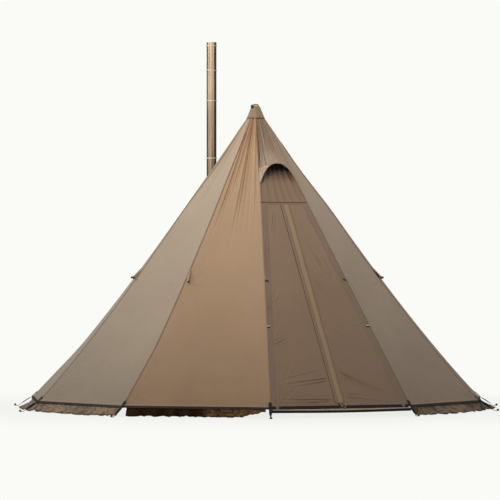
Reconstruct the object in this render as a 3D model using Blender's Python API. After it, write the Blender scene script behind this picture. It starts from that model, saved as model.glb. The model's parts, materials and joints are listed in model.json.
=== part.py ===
"""A ten-sided pyramid tent with a centre pole, a two-leaf door, a hooded vent and a box stove.

Metres, +Z up. The origin is on the ground under the apex, where the pole's foot stands.
The door faces -Y. A bearing is an angle on the ground, measured from -Y towards +X.
"""
import math

import bmesh
import bpy
from mathutils import Matrix, Vector

# Canopy: one ridge runs from each pegged corner to the apex
CORNER_BEARINGS = (3.3, 39.6, 72.9, 100.4, 140.1, 179.8, 219.5, 259.1, 292.4, 326.7)
CORNERS = len(CORNER_BEARINGS)
CORNER_R = 1.83
APEX_R = 0.030
APEX_Z = 2.40
HEM_Z = 0.075
SEAM_SAG = 0.075
SEAM_SAG_SKEW = 0.72
PANEL_SAG = 0.014
DOOR_CORNERS = (0, 1)
WALLS = tuple(range(1, CORNERS))
WALL_FOOT = 0.070
WALL_TOP = 2.360
WALL_ROWS = 12
WALL_COLUMNS = 4
JACK_WALL = 5
JACK_COLUMNS = 8

# Cloth, webbing and clearances
CLOTH = 0.0016
WEBBING = 0.0015
WEBBING_WIDTH = 0.020
SEAM_GAP = 0.0003
REST_GAP = 0.0003
LAY_GAP = 0.0006
DOOR_SEAM_GAP = 0.0010
HEM_BAND_LOW = 0.066
HEM_GAP = 0.0015

# Skirts hang from the hem to the ground
SKIRT_TOP = WALL_FOOT - REST_GAP
SKIRT_FOOT = 0.0028
SKIRT_TUCK = (SKIRT_TOP - HEM_BAND_LOW + REST_GAP) / (SKIRT_TOP - SKIRT_FOOT)
SKIRT_CLOTH = 0.0015
SKIRT_END = 0.030
SKIRT_COLUMNS = 26
SKIRT_ROWS = 3
SKIRT_WAVES = 7
SKIRT_WAVE = 0.016
SKIRT_SIDE_FLARE = 0.110
SKIRT_FRONT_FLARE = 0.004
SKIRT_RAG = 0.004
SKIRT_SPREAD = 0.6
SKIRT_CURVE = 1.4
SKIRT_SECOND = 0.45
SKIRT_SHINGLE = 0.8
SKIRT_LENGTHS = {
    "skirt_right": (1, 2, 3),
    "skirt_rear": (4, 5, 6),
    "skirt_left": (7, 8),
    "skirt_front": (9,),
}

# Peg straps, one across each corner of the hem
STRAP_TOP = 0.118
STRAP_STAND = 0.0048
PEG_REACH = 0.115
DOOR_PEG_REACH = 0.065
STRAP_END_Z = 0.0034
PEG_LOOP_R = 0.0120
PEG_CORD = 0.0025
KNOB_R = 0.0060
KNOB_H = 0.0110
KNOB_LOW = 0.0012
KNOB_NECK = 0.7
KNOB_EDGE = 0.25
KNOB_PAST = 0.6
SILL_Z = 0.052
SILL_SAG = 0.008
SILL_BAND = 0.018
SILL_SEAT = 0.0014

# Guy-out tabs on the ridges
GUY_Z = 1.030
GUY_TAB_UP = 0.050
GUY_TAB_DOWN = 0.030
GUY_REACH = 0.040
GUY_DROOP = 0.018
TAB_SINK = 0.0014
GUY_END_R = 0.0055
GUY_END_LENGTH = 0.012
GUY_END_EASE = 0.0015

# Apex cap and its cord loop
CAP_FOOT = 2.300
CAP_WALL = 0.0020
CAP_GAP = 0.0010
LOOP_HALF = 0.020
LOOP_RISE = 0.013
LOOP_CORD = 0.0025
TOGGLE_R = 0.0055
TOGGLE_H = 0.014
TOGGLE_NECK = 0.7
TOGGLE_EDGE = 0.2

# Centre pole
POLE_R = 0.014
POLE_WALL = 0.0015
POLE_FIT = 0.0004
POLE_SECTIONS = 3
SPIGOT = 0.060
FOOT_R = 0.024
FOOT_H = 0.040
FOOT_FLOOR = 0.008
FOOT_WALL = 0.004
FOOT_SHOULDER = 0.5
POLE_CAP_R = 0.019
POLE_CAP_H = 0.020
POLE_CAP_PLUG = 0.050
POLE_CAP_EASE = 0.006
POLE_TOP = APEX_Z - CAP_WALL - REST_GAP - POLE_CAP_H

# Door
EDGE_WIDTH = 0.055
LEAF_GAP = 0.0004
LEAF_CENTRE = 0.010
LEAF_FOOT = -0.004
HEADER_Z = 1.610
HEADER_BAND = 0.014
HEADER_GAP = 0.0015
LEAF_HEM = 0.020
LEAF_HEM_TRIM = 0.0042
ZIP_STOP = 0.004

# Zip, storm flap and its foot hook
TAPE_OUT = 0.026
TAPE = 0.0010
BEAD_WIDTH = 0.0027
BEAD_HALF_GAP = 0.0008
BEAD_HIGH = -0.0005
BEAD_LOW = -0.0045
ZIP_FOOT = 0.006
SLIDER_FOOT = 0.010
SLIDER_LENGTH = 0.018
SLIDER_LEFT = 0.0060
SLIDER_RIGHT = 0.0040
SLIDER_WEB = 0.0005
SLIDER_PLATE = 0.0013
SLIDER_FIT = 0.0005
POST_R = 0.0012
PULL_LENGTH = 0.026
PULL_WIDTH = 0.0080
PULL_LOW = 0.0020
PULL_HIGH = 0.0034
PULL_HOLE = 0.0018
FLAP_HALF = 0.0315
FLAP_LIP = 0.0025
FLAP_LOW = 0.0041
FLAP_FOOT = 0.036
HOOK_R = 0.0018
HOOK_X = 0.014
HOOK_HIGH = 0.0062
HOOK_CURL = 0.0045
HOOK_TURN = math.radians(120)

# Vent and hood
HOOD_TOP_Z = 2.050
BRIM_END_Z = 1.775
BRIM_RISE = 0.150
BRIM_STAND = 0.069
BRIM_POWER = 2.4
HOOD_SWELL = 1.2
BRIM_STEP = 0.002
BRIM_BACK = 0.05
HOOD_ROWS = 6
HOOD_COLUMNS = 16
BINDING_R = 0.0040
BINDING_GAP = 0.0008
VENT_SIDE_GAP = 0.0024
VENT_SINK = 0.0032
VENT_SINK_RUN = 0.100
VENT_PLEATS = 6
VENT_PLEAT = 0.006
VENT_PLEAT_FOOT = 0.25
VENT_COLUMNS = 24
VENT_ROWS = 6

# Tie-back toggles beside the door
TIE_Z = 0.675
TIE_IN = 0.017
TIE_TAB = 0.022
TIE_STEM_R = 0.0015
TIE_BAR_R = 0.0036
TIE_BAR_WAIST = 0.0026
TIE_BAR_HALF = 0.013
TIE_BAR_EASE = 0.0010
TIE_BAR_W = 0.0062
TIE_WAIST_IN = 0.002
TIE_WAIST_OUT = 0.004

# Stove pipe, jack and damper
PIPE_BEARING = 205.0
PIPE_DISTANCE = 0.850
PIPE_R = 0.040
PIPE_WALL = 0.0006
PIPE_TOP = 2.950
PIPE_SIDES = 24
RING_DROPS = (0.030, 0.230, 0.478, 0.947, 1.420, 1.890)
RING_H = 0.006
RING_WALL = 0.0020
SLEEVE_WALL = 0.0030
SLEEVE_HALF = 0.100
SLEEVE_FIT = 0.0006
WALL_HOLE_R = 0.055
WALL_CUT_REACH = 0.2
PATCH_CLOTH = 0.0018
PATCH_CELLS = 4
PATCH_ROWS = 2
DAMPER_Z = 0.620
DAMPER_FIT = 0.0009
DAMPER_PLATE = 0.0012
DAMPER_SHAFT_R = 0.0025
DAMPER_HOLE_R = 0.0031
DAMPER_KNOB_R = 0.0080
DAMPER_KNOB = 0.020
DAMPER_STAND = 0.014
DAMPER_END = 0.006
DAMPER_CUT_REACH = 0.020

# Box stove
STOVE_HALF = 0.110
STOVE_REAR = 0.080
STOVE_FRONT = 0.300
STOVE_LOW = 0.200
STOVE_HIGH = 0.420
STOVE_WALL = 0.0015
FLUE_HOLE_R = 0.038
COLLAR_H = 0.050
COLLAR_WALL = 0.0030
MOUTH_HALF = 0.075
MOUTH_LOW = 0.240
MOUTH_HIGH = 0.360
DOOR_LAP = 0.010
PLATE_CUT_REACH = 0.010
STOVE_DOOR = 0.0020
BARREL_R = 0.0042
PIN_R = 0.0020
PIN_FIT = 0.0003
BARREL_LOW = 0.255
BARREL_HIGH = 0.345
KNUCKLE_HALF = 0.030
AIR_Z = 0.272
AIR_DIAL_R = 0.026
AIR_HOLES = 3
AIR_HOLE_R = 0.0055
AIR_RING_R = 0.016
AIR_RIVET_R = 0.0040
AIR_DIAL = 0.0015
AIR_CUT_REACH = 0.002
KNOB_X = 0.068
KNOB_Z = 0.325
STOVE_KNOB_R = 0.009
STOVE_KNOB = 0.030
STOVE_NECK = 0.5
STOVE_NECK_END = 0.4
STOVE_KNOB_START = 0.55
LEG_R = 0.005
LEG_FOOT_R = 0.012
LEG_FOOT = 0.004
LEG_INSET = 0.016
STAND_RAIL = 0.008

SMOOTH_ANGLE = math.radians(40)


# Scene and object helpers
def clear_scene():
    """Remove whatever the file opened with."""
    for item in list(bpy.data.objects):
        bpy.data.objects.remove(item, do_unlink=True)


def principled(name, colour, roughness, metallic):
    """A plain surface with the piece's own colour."""
    surface = bpy.data.materials.new(name)
    surface.use_nodes = True
    shader = surface.node_tree.nodes["Principled BSDF"]
    shader.inputs["Base Color"].default_value = (*colour, 1.0)
    shader.inputs["Roughness"].default_value = roughness
    shader.inputs["Metallic"].default_value = metallic
    surface.diffuse_color = (*colour, 1.0)
    return surface


# Linear colour, roughness and metallic value of each finish
FINISHES = {
    "canopy": ((0.30, 0.21, 0.14), 0.75, 0.0),
    "door": ((0.18, 0.13, 0.09), 0.75, 0.0),
    "binding": ((0.42, 0.24, 0.11), 0.70, 0.0),
    "webbing": ((0.035, 0.040, 0.048), 0.80, 0.0),
    "skirt": ((0.10, 0.07, 0.045), 0.85, 0.0),
    "shaded_skirt": ((0.020, 0.015, 0.010), 0.85, 0.0),
    "black": ((0.015, 0.015, 0.016), 0.45, 0.0),
    "aluminium": ((0.60, 0.60, 0.61), 0.35, 1.0),
    "rubber": ((0.03, 0.03, 0.03), 0.85, 0.0),
    "jack": ((0.35, 0.35, 0.34), 0.80, 0.0),
    "titanium": ((0.33, 0.25, 0.18), 0.32, 1.0),
    "steel": ((0.50, 0.49, 0.47), 0.30, 1.0),
}


def finish(name, body, look, frame=None, smooth=False):
    """Turn a bmesh, modelled in world space, into a named object whose origin is the frame's."""
    frame = frame or Matrix.Identity(4)
    bmesh.ops.recalc_face_normals(body, faces=body.faces)
    body.transform(frame.inverted())
    mesh = bpy.data.meshes.new(name)
    body.to_mesh(mesh)
    body.free()
    mesh.materials.append(principled(name, *FINISHES[look]))
    if smooth:
        mesh.shade_smooth()
        mesh.set_sharp_from_angle(angle=SMOOTH_ANGLE)
    piece = bpy.data.objects.new(name, mesh)
    piece.matrix_world = frame
    bpy.context.scene.collection.objects.link(piece)
    return piece


def carry(parent, *children):
    """Parent pieces to the piece that moves them, where they are."""
    bpy.context.view_layer.update()
    for child in children:
        child.parent = parent
        child.matrix_parent_inverse = parent.matrix_world.inverted()


def helper(name, body):
    """A guide solid for a Boolean: it isn't part of the tent."""
    guide = finish(name, body, "black")
    guide.hide_render = True
    guide.display_type = "WIRE"
    return guide


def combine(piece, guide, operation):
    """Cut a guide from a piece, or unite it with the piece."""
    modifier = piece.modifiers.new(guide.name, "BOOLEAN")
    modifier.operation = operation
    modifier.solver = "EXACT"
    modifier.object = guide


# Solid builders: each adds one closed solid to a bmesh
def plate(body, outline, low, high, frame):
    """A flat outline in the frame's XY plane with its thickness along Z."""
    corners = [body.verts.new(frame @ Vector((x, y, low))) for x, y in outline]
    face = body.faces.new(corners)
    grown = bmesh.ops.extrude_face_region(body, geom=[face])
    moved = [item for item in grown["geom"] if isinstance(item, bmesh.types.BMVert)]
    rise = frame.to_3x3() @ Vector((0.0, 0.0, high - low))
    bmesh.ops.translate(body, verts=moved, vec=rise)


def block(body, low, high, frame):
    """A box between two corners."""
    outline = [(low[0], low[1]), (high[0], low[1]), (high[0], high[1]), (low[0], high[1])]
    plate(body, outline, low[2], high[2], frame)


def bridge(body, rings, closed):
    """Join rings of vertices in turn; cap the first and last unless the row of rings is closed."""
    count = len(rings[0])
    spans = len(rings) if closed else len(rings) - 1
    for index in range(spans):
        here = rings[index]
        there = rings[(index + 1) % len(rings)]
        for side in range(count):
            after = (side + 1) % count
            body.faces.new((here[side], here[after], there[after], there[side]))
    if not closed:
        body.faces.new(list(reversed(rings[0])))
        body.faces.new(rings[-1])


def turned(body, profile, frame, sides, closed=False):
    """A profile of (radius, height) turned about the frame's Z; a closed one is a ring or a tube."""
    rings = []
    for radius, height in profile:
        ring = []
        for side in range(sides):
            angle = math.tau * side / sides
            spot = Vector((radius * math.cos(angle), radius * math.sin(angle), height))
            ring.append(body.verts.new(frame @ spot))
        rings.append(ring)
    bridge(body, rings, closed)


def torus(body, ring_radius, cord_radius, frame, sides=12, cord_sides=6):
    """A closed cord ring lying in the frame's XY plane."""
    profile = []
    for step in range(cord_sides):
        angle = math.tau * (step + 0.5) / cord_sides
        profile.append((ring_radius + cord_radius * math.cos(angle), cord_radius * math.sin(angle)))
    turned(body, profile, frame, sides, closed=True)


def rod(body, path, radius, sides=8):
    """A round bar along a path of points, with flat ends."""
    rings = []
    across = None
    for index, point in enumerate(path):
        before = path[max(index - 1, 0)]
        after = path[min(index + 1, len(path) - 1)]
        along = (after - before).normalized()
        if across is None:
            across = along.orthogonal().normalized()
        across = (across - along * across.dot(along)).normalized()
        other = along.cross(across)
        ring = []
        for side in range(sides):
            angle = math.tau * side / sides
            offset = across * math.cos(angle) + other * math.sin(angle)
            ring.append(body.verts.new(point + offset * radius))
        rings.append(ring)
    bridge(body, rings, closed=False)


def sheet(body, outer, inner):
    """A closed cloth solid between two grids of points; both faces split along the same diagonals."""
    rows = len(outer)
    columns = len(outer[0])
    front = [[body.verts.new(point) for point in row] for row in outer]
    back = [[body.verts.new(point) for point in row] for row in inner]
    for row in range(rows - 1):
        for column in range(columns - 1):
            for side, flip in ((front, False), (back, True)):
                start, end = side[row][column], side[row + 1][column + 1]
                for middle in ((start, side[row][column + 1], end), (start, end, side[row + 1][column])):
                    body.faces.new(reversed(middle) if flip else middle)
    rim = [(0, column) for column in range(columns)]
    rim += [(row, columns - 1) for row in range(1, rows)]
    rim += [(rows - 1, column) for column in range(columns - 2, -1, -1)]
    rim += [(row, 0) for row in range(rows - 2, 0, -1)]
    for index, (row, column) in enumerate(rim):
        next_row, next_column = rim[(index + 1) % len(rim)]
        first = (front[row][column], front[next_row][next_column])
        second = (back[next_row][next_column], back[row][column])
        body.faces.new(first + second)


def band(body, path, thickness, width, frame):
    """A flat strap: its path runs in the frame's XY plane and its width lies along Z."""
    sides = ([], [])
    for index, point in enumerate(path):
        before = path[max(index - 1, 0)]
        after = path[min(index + 1, len(path) - 1)]
        incoming = Vector(point) - Vector(before) if index else Vector(after) - Vector(point)
        outgoing = Vector(after) - Vector(point) if after is not point else incoming
        incoming.normalize()
        outgoing.normalize()
        bend = Vector((-(incoming.y + outgoing.y), incoming.x + outgoing.x)).normalized()
        mitre = 0.5 * thickness / max(bend.dot(Vector((-incoming.y, incoming.x))), 0.5)
        sides[0].append(Vector(point) + bend * mitre)
        sides[1].append(Vector(point) - bend * mitre)
    outline = [tuple(point) for point in sides[0] + list(reversed(sides[1]))]
    plate(body, outline, -0.5 * width, 0.5 * width, frame)


# Canopy geometry
def outward(bearing):
    """Unit vector on the ground that points away from the pole."""
    angle = math.radians(bearing)
    return Vector((math.sin(angle), -math.cos(angle), 0.0))


def sideways(bearing):
    """Unit vector on the ground, square to outward, towards rising bearings."""
    angle = math.radians(bearing)
    return Vector((math.cos(angle), math.sin(angle), 0.0))


def straight_radius(height):
    """Radius of a straight ridge."""
    share = (height - HEM_Z) / (APEX_Z - HEM_Z)
    return CORNER_R + (APEX_R - CORNER_R) * share


def seam_radius(corner, height):
    """Radius of a ridge: the door's two are straight, the others sag inwards between hem and apex."""
    if corner % CORNERS in DOOR_CORNERS:
        return straight_radius(height)
    share = min(max((height - HEM_Z) / (APEX_Z - HEM_Z), 0.0), 1.0)
    return straight_radius(height) - SEAM_SAG * math.sin(math.pi * share ** SEAM_SAG_SKEW)


ROW_HEIGHT = (WALL_TOP - WALL_FOOT) / WALL_ROWS


def row_of(height):
    """The wall row that holds a height, and the share of that row below it."""
    row = int((height - WALL_FOOT) / ROW_HEIGHT)
    row = min(max(row, 0), WALL_ROWS - 1)
    return row, (height - WALL_FOOT) / ROW_HEIGHT - row


def ridge_radius(corner, height):
    """Radius of a ridge as the walls are faceted."""
    row, share = row_of(height)
    low = seam_radius(corner, WALL_FOOT + row * ROW_HEIGHT)
    high = seam_radius(corner, WALL_FOOT + (row + 1) * ROW_HEIGHT)
    return low + (high - low) * share


def ridge_point(corner, height, out=0.0):
    """A point on a ridge, or straight out from it."""
    bearing = CORNER_BEARINGS[corner % CORNERS]
    return outward(bearing) * (ridge_radius(corner, height) + out) + Vector((0.0, 0.0, height))


def middle_bearing(wall):
    """Bearing of the middle of a wall."""
    start = CORNER_BEARINGS[wall]
    end = CORNER_BEARINGS[(wall + 1) % CORNERS]
    return start + ((end - start) % 360.0) / 2


def wall_node(wall, across, row):
    """A point of a wall's outer face on one of its rows; across runs from 0 to 1."""
    height = WALL_FOOT + row * ROW_HEIGHT
    start_bearing = CORNER_BEARINGS[wall]
    end_bearing = CORNER_BEARINGS[(wall + 1) % CORNERS]
    start = outward(start_bearing) * seam_radius(wall, height) + sideways(start_bearing) * SEAM_GAP / 2
    end = outward(end_bearing) * seam_radius(wall + 1, height) - sideways(end_bearing) * SEAM_GAP / 2
    spot = start.lerp(end, across)
    swell = 4 * across * (1 - across) * math.sin(math.pi * row / WALL_ROWS)
    spot -= outward(middle_bearing(wall)) * PANEL_SAG * swell
    spot.z = height
    return spot


def wall_point(wall, across, height, out=0.0, columns=WALL_COLUMNS):
    """A point on, or straight out from, the faceted outer face of a wall."""
    row, share = row_of(height)
    column = min(int(across * columns), columns - 1)
    part = across * columns - column
    edges = []
    for step in (column, column + 1):
        low = wall_node(wall, step / columns, row)
        high = wall_node(wall, step / columns, row + 1)
        edges.append(low.lerp(high, share))
    spot = edges[0].lerp(edges[1], part)
    away = Vector((spot.x, spot.y, 0.0)).normalized()
    return spot + away * out


def wall_cloth(body, wall, heights, shares, low, high, columns=WALL_COLUMNS):
    """A layer on a wall between two radial distances from its outer face."""
    outer = [[wall_point(wall, s, z, high, columns) for s in shares] for z in heights]
    inner = [[wall_point(wall, s, z, low, columns) for s in shares] for z in heights]
    sheet(body, outer, inner)


def even(count, low=0.0, high=1.0):
    """Evenly spaced values, both ends included."""
    return [low + (high - low) * step / count for step in range(count + 1)]


# Door plane: X runs across the door, Y up its slope and Z straight out of it
DOOR_SPREAD = math.radians(CORNER_BEARINGS[1] - CORNER_BEARINGS[0]) / 2
DOOR_BEARING = (CORNER_BEARINGS[0] + CORNER_BEARINGS[1]) / 2
DOOR_LEAN = math.atan((CORNER_R - APEX_R) * math.cos(DOOR_SPREAD) / (APEX_Z - HEM_Z))


def door_frame():
    """Frame of the door plane, with its origin at the middle of the hem line."""
    across = sideways(DOOR_BEARING)
    away = outward(DOOR_BEARING)
    rise = Vector((0.0, 0.0, 1.0))
    up = rise * math.cos(DOOR_LEAN) - away * math.sin(DOOR_LEAN)
    out = away * math.cos(DOOR_LEAN) + rise * math.sin(DOOR_LEAN)
    frame = Matrix((across, up, out)).transposed().to_4x4()
    frame.translation = away * CORNER_R * math.cos(DOOR_SPREAD) + rise * HEM_Z
    return frame


DOOR = door_frame()


def slope(height):
    """Distance up the door's slope to a height."""
    return (height - HEM_Z) / math.cos(DOOR_LEAN)


def half_width(up):
    """Half the door plane's width between the two ridges, at a distance up the slope."""
    return straight_radius(HEM_Z + up * math.cos(DOOR_LEAN)) * math.sin(DOOR_SPREAD)


HEADER_FOOT = slope(HEADER_Z)
LEAF_TOP = HEADER_FOOT - HEADER_GAP
ZIP_TOP = LEAF_TOP - ZIP_STOP
FLAP_HIGH = FLAP_LOW + WEBBING
HOOD_TOP = slope(HOOD_TOP_Z)
BRIM_END = slope(BRIM_END_Z)


def hinge_frame(side):
    """Frame of a leaf's hinge line: side is -1 for the left leaf and 1 for the right."""
    foot = Vector((side * (half_width(LEAF_FOOT) - EDGE_WIDTH), LEAF_FOOT, 0.0))
    top = Vector((side * (half_width(LEAF_TOP) - EDGE_WIDTH), LEAF_TOP, 0.0))
    up = (DOOR.to_3x3() @ (top - foot)).normalized()
    out = DOOR.col[2].to_3d()
    across = up.cross(out)
    frame = Matrix((across, up, out)).transposed().to_4x4()
    frame.translation = DOOR @ foot
    return frame


def ridge_frame(bearing):
    """Vertical plane through the pole: X points outward, Y up and Z sideways."""
    return Matrix((outward(bearing), Vector((0, 0, 1)), -sideways(bearing))).transposed().to_4x4()


def ground_frame(bearing, distance, height=0.0):
    """Upright frame on a bearing, turned so that X points outward."""
    frame = Matrix((outward(bearing), sideways(bearing), Vector((0, 0, 1)))).transposed().to_4x4()
    frame.translation = outward(bearing) * distance + Vector((0.0, 0.0, height))
    return frame


# Canopy pieces
def make_walls():
    """Nine tapering walls, felled to each other along the ridges."""
    walls = {}
    for wall in WALLS:
        columns = JACK_COLUMNS if wall == JACK_WALL else WALL_COLUMNS
        body = bmesh.new()
        heights = [WALL_FOOT + row * ROW_HEIGHT for row in range(WALL_ROWS + 1)]
        depth = -CLOTH / math.cos(DOOR_LEAN)
        wall_cloth(body, wall, heights, even(columns), depth, 0.0, columns)
        walls[wall] = finish(f"wall_{wall}", body, "canopy")
    return walls


def make_hem_webbing():
    """The webbing band sewn round the foot of the walls, from one side of the door to the other."""
    heights = (HEM_BAND_LOW, HEM_BAND_LOW + WEBBING_WIDTH * math.cos(DOOR_LEAN))
    low = HEM_GAP
    high = HEM_GAP + WEBBING / math.cos(DOOR_LEAN)
    grids = ([[], []], [[], []])
    for wall in WALLS:
        columns = JACK_COLUMNS if wall == JACK_WALL else WALL_COLUMNS
        shares = even(columns)
        if wall > WALLS[0]:
            shares = shares[1:]
        for grid, out in zip(grids, (high, low)):
            for row, height in zip(grid, heights):
                row += [wall_point(wall, share, height, out, columns) for share in shares]
    body = bmesh.new()
    sheet(body, grids[0], grids[1])
    finish("hem_webbing", body, "webbing")


def make_peg_straps():
    """A strap across each corner of the hem, with its cord loop and the knob on the loop."""
    hem_high = HEM_BAND_LOW + WEBBING_WIDTH
    for corner in range(CORNERS):
        bearing = CORNER_BEARINGS[corner]
        end = CORNER_R + peg_reach(corner)
        path = [(ridge_radius(corner, STRAP_TOP) + STRAP_STAND, STRAP_TOP)]
        path += [(ridge_radius(corner, hem_high) + STRAP_STAND, hem_high)]
        path += [(ridge_radius(corner, HEM_BAND_LOW) + STRAP_STAND, HEM_BAND_LOW)]
        path += [(end, STRAP_END_Z)]
        body = bmesh.new()
        band(body, path, WEBBING, WEBBING_WIDTH, ridge_frame(bearing))
        strap = finish(f"peg_strap_{corner}", body, "webbing")
        centre = end + PEG_LOOP_R
        loop = bmesh.new()
        torus(loop, PEG_LOOP_R, PEG_CORD, ground_frame(bearing, centre, PEG_CORD + REST_GAP))
        combine(strap, helper(f"peg_loop_{corner}_guide", loop), "UNION")
        knob = bmesh.new()
        frame = ground_frame(bearing, centre + PEG_LOOP_R + KNOB_PAST * KNOB_R, KNOB_LOW)
        profile = [(KNOB_NECK * KNOB_R, 0.0), (KNOB_R, KNOB_EDGE * KNOB_H)]
        profile += [(KNOB_R, (1 - KNOB_EDGE) * KNOB_H), (KNOB_NECK * KNOB_R, KNOB_H)]
        turned(knob, profile, frame, 10)
        combine(strap, helper(f"peg_knob_{corner}_guide", knob), "UNION")


def skirt_point(wall, across, drop, depth):
    """A point of a skirt: drop runs from 0 at the hem to 1 at the ground."""
    top = wall_point(wall, across, SKIRT_TOP, -LAY_GAP)
    away = Vector((top.x, top.y, 0.0)).normalized()
    flare = SKIRT_FRONT_FLARE if wall == WALLS[-1] else SKIRT_SIDE_FLARE
    spread = math.sin(math.pi * across) ** SKIRT_SPREAD if 0 < across < 1 else 0.0
    phase = math.tau * SKIRT_WAVES * across
    ripple = math.sin(phase) + SKIRT_SECOND * math.sin(2 * phase + wall)
    hang = max(drop - SKIRT_TUCK, 0.0) / (1 - SKIRT_TUCK)
    out = flare * spread * hang ** SKIRT_CURVE + SKIRT_WAVE * hang * ripple
    lift = SKIRT_RAG * hang * (1 + math.sin(2 * phase + 2 * wall))
    height = SKIRT_TOP + (SKIRT_FOOT - SKIRT_TOP) * drop + lift
    height -= SKIRT_SHINGLE * depth
    return Vector((top.x, top.y, 0.0)) + away * (out - depth) + Vector((0.0, 0.0, height))


def make_skirts():
    """Cloth skirts below the hem, in four sewn lengths."""
    drops = [0.0] + even(SKIRT_ROWS, SKIRT_TUCK, 1.0)
    for name, walls in SKIRT_LENGTHS.items():
        grids = ([[] for _ in drops], [[] for _ in drops])
        for wall in walls:
            first = SKIRT_END if wall == walls[0] else 0.0
            last = 1 - SKIRT_END if wall == walls[-1] else 1.0
            shares = even(SKIRT_COLUMNS, first, last)
            if wall > walls[0]:
                shares = shares[1:]
            for grid, depth in zip(grids, (0.0, SKIRT_CLOTH)):
                for row, drop in zip(grid, drops):
                    row += [skirt_point(wall, share, drop, depth) for share in shares]
        body = bmesh.new()
        sheet(body, grids[0], grids[1])
        look = "shaded_skirt" if walls == (WALLS[-1],) else "skirt"
        finish(name, body, look, smooth=True)


def peg_reach(corner):
    """How far a corner's strap reaches past the hem."""
    return DOOR_PEG_REACH if corner in DOOR_CORNERS else PEG_REACH


def strap_radius(corner, height):
    """Radius of a peg strap's middle line, at a height below the hem."""
    start = ridge_radius(corner, HEM_BAND_LOW) + STRAP_STAND
    share = (HEM_BAND_LOW - height) / (HEM_BAND_LOW - STRAP_END_Z)
    return start + (CORNER_R + peg_reach(corner) - start) * share


def make_sill_strap():
    """The strap that ties the two door corners together below the leaves."""
    body = bmesh.new()
    radius = strap_radius(DOOR_CORNERS[0], SILL_Z + SILL_BAND / 2) - SILL_SEAT
    reach = radius * math.sin(DOOR_SPREAD) - DOOR_SEAM_GAP
    centre = outward(DOOR_BEARING) * radius * math.cos(DOOR_SPREAD)
    grids = []
    for depth in (0.0, -WEBBING):
        grid = []
        for edge in (-0.5, 0.5):
            row = []
            for share in even(10, -1.0, 1.0):
                height = SILL_Z - SILL_SAG * (1 - share * share) + edge * SILL_BAND
                spot = centre + sideways(DOOR_BEARING) * reach * share
                spot += outward(DOOR_BEARING) * depth
                row.append(spot + Vector((0.0, 0.0, height)))
            grid.append(row)
        grids.append(grid)
    sheet(body, grids[0], grids[1])
    finish("sill_strap", body, "webbing")


def make_guy_tabs(walls):
    """A triangular guy-out tab on each free ridge, sewn to the wall that starts there."""
    high = GUY_Z + GUY_TAB_UP
    low = GUY_Z - GUY_TAB_DOWN
    for corner in range(len(DOOR_CORNERS), CORNERS):
        outline = [(ridge_radius(corner, high) - TAB_SINK, high)]
        outline += [(ridge_radius(corner, low) - TAB_SINK, low)]
        outline += [(ridge_radius(corner, low) + GUY_REACH, low - GUY_DROOP)]
        body = bmesh.new()
        plate(body, outline, -SEAM_GAP - WEBBING, -SEAM_GAP, ridge_frame(CORNER_BEARINGS[corner]))
        combine(walls[corner], helper(f"guy_tab_{corner}_guide", body), "UNION")


def guy_end_profile(low):
    """A short barrel with eased ends, from a low face up."""
    high = low + GUY_END_LENGTH
    profile = [(GUY_END_R - GUY_END_EASE, low), (GUY_END_R, low + GUY_END_EASE)]
    profile += [(GUY_END_R, high - GUY_END_EASE), (GUY_END_R - GUY_END_EASE, high)]
    return profile


def make_apex():
    """The cap over the wall tops, the cord loop on it and the loop's toggle."""
    body = bmesh.new()
    heights = (CAP_FOOT, (CAP_FOOT + APEX_Z) / 2, APEX_Z)
    outer = [[ridge_point(corner, z, CAP_GAP + CAP_WALL) for corner in range(CORNERS)] for z in heights]
    inner = [[ridge_point(corner, z, CAP_GAP) for corner in range(CORNERS)] for z in heights]
    for point in inner[-1]:
        point.z -= CAP_WALL
    rings = [[body.verts.new(point) for point in ring] for ring in reversed(inner)]
    rings += [[body.verts.new(point) for point in ring] for ring in outer]
    bridge(body, rings, closed=False)
    finish("apex_cap", body, "canopy")

    loop = bmesh.new()
    foot = APEX_Z + REST_GAP
    path = []
    for step in range(11):
        angle = math.pi * step / 10
        path.append(Vector((-LOOP_HALF * math.cos(angle), 0.0, foot + LOOP_RISE * math.sin(angle))))
    rod(loop, path, LOOP_CORD)
    bmesh.ops.bisect_plane(
        loop,
        geom=loop.verts[:] + loop.edges[:] + loop.faces[:],
        plane_co=(0.0, 0.0, foot),
        plane_no=(0.0, 0.0, -1.0),
        clear_outer=True,
    )
    bmesh.ops.holes_fill(loop, edges=[edge for edge in loop.edges if edge.is_boundary])
    finish("apex_loop", loop, "binding", smooth=True)

    toggle = bmesh.new()
    spot = Vector((-LOOP_HALF - LOOP_CORD - TOGGLE_R - REST_GAP, 0.0, foot))
    profile = [(TOGGLE_NECK * TOGGLE_R, 0.0), (TOGGLE_R, TOGGLE_EDGE * TOGGLE_H)]
    profile += [(TOGGLE_R, (1 - TOGGLE_EDGE) * TOGGLE_H), (TOGGLE_NECK * TOGGLE_R, TOGGLE_H)]
    turned(toggle, profile, Matrix.Translation(spot), 12)
    finish("apex_toggle", toggle, "black", smooth=True)


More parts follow.
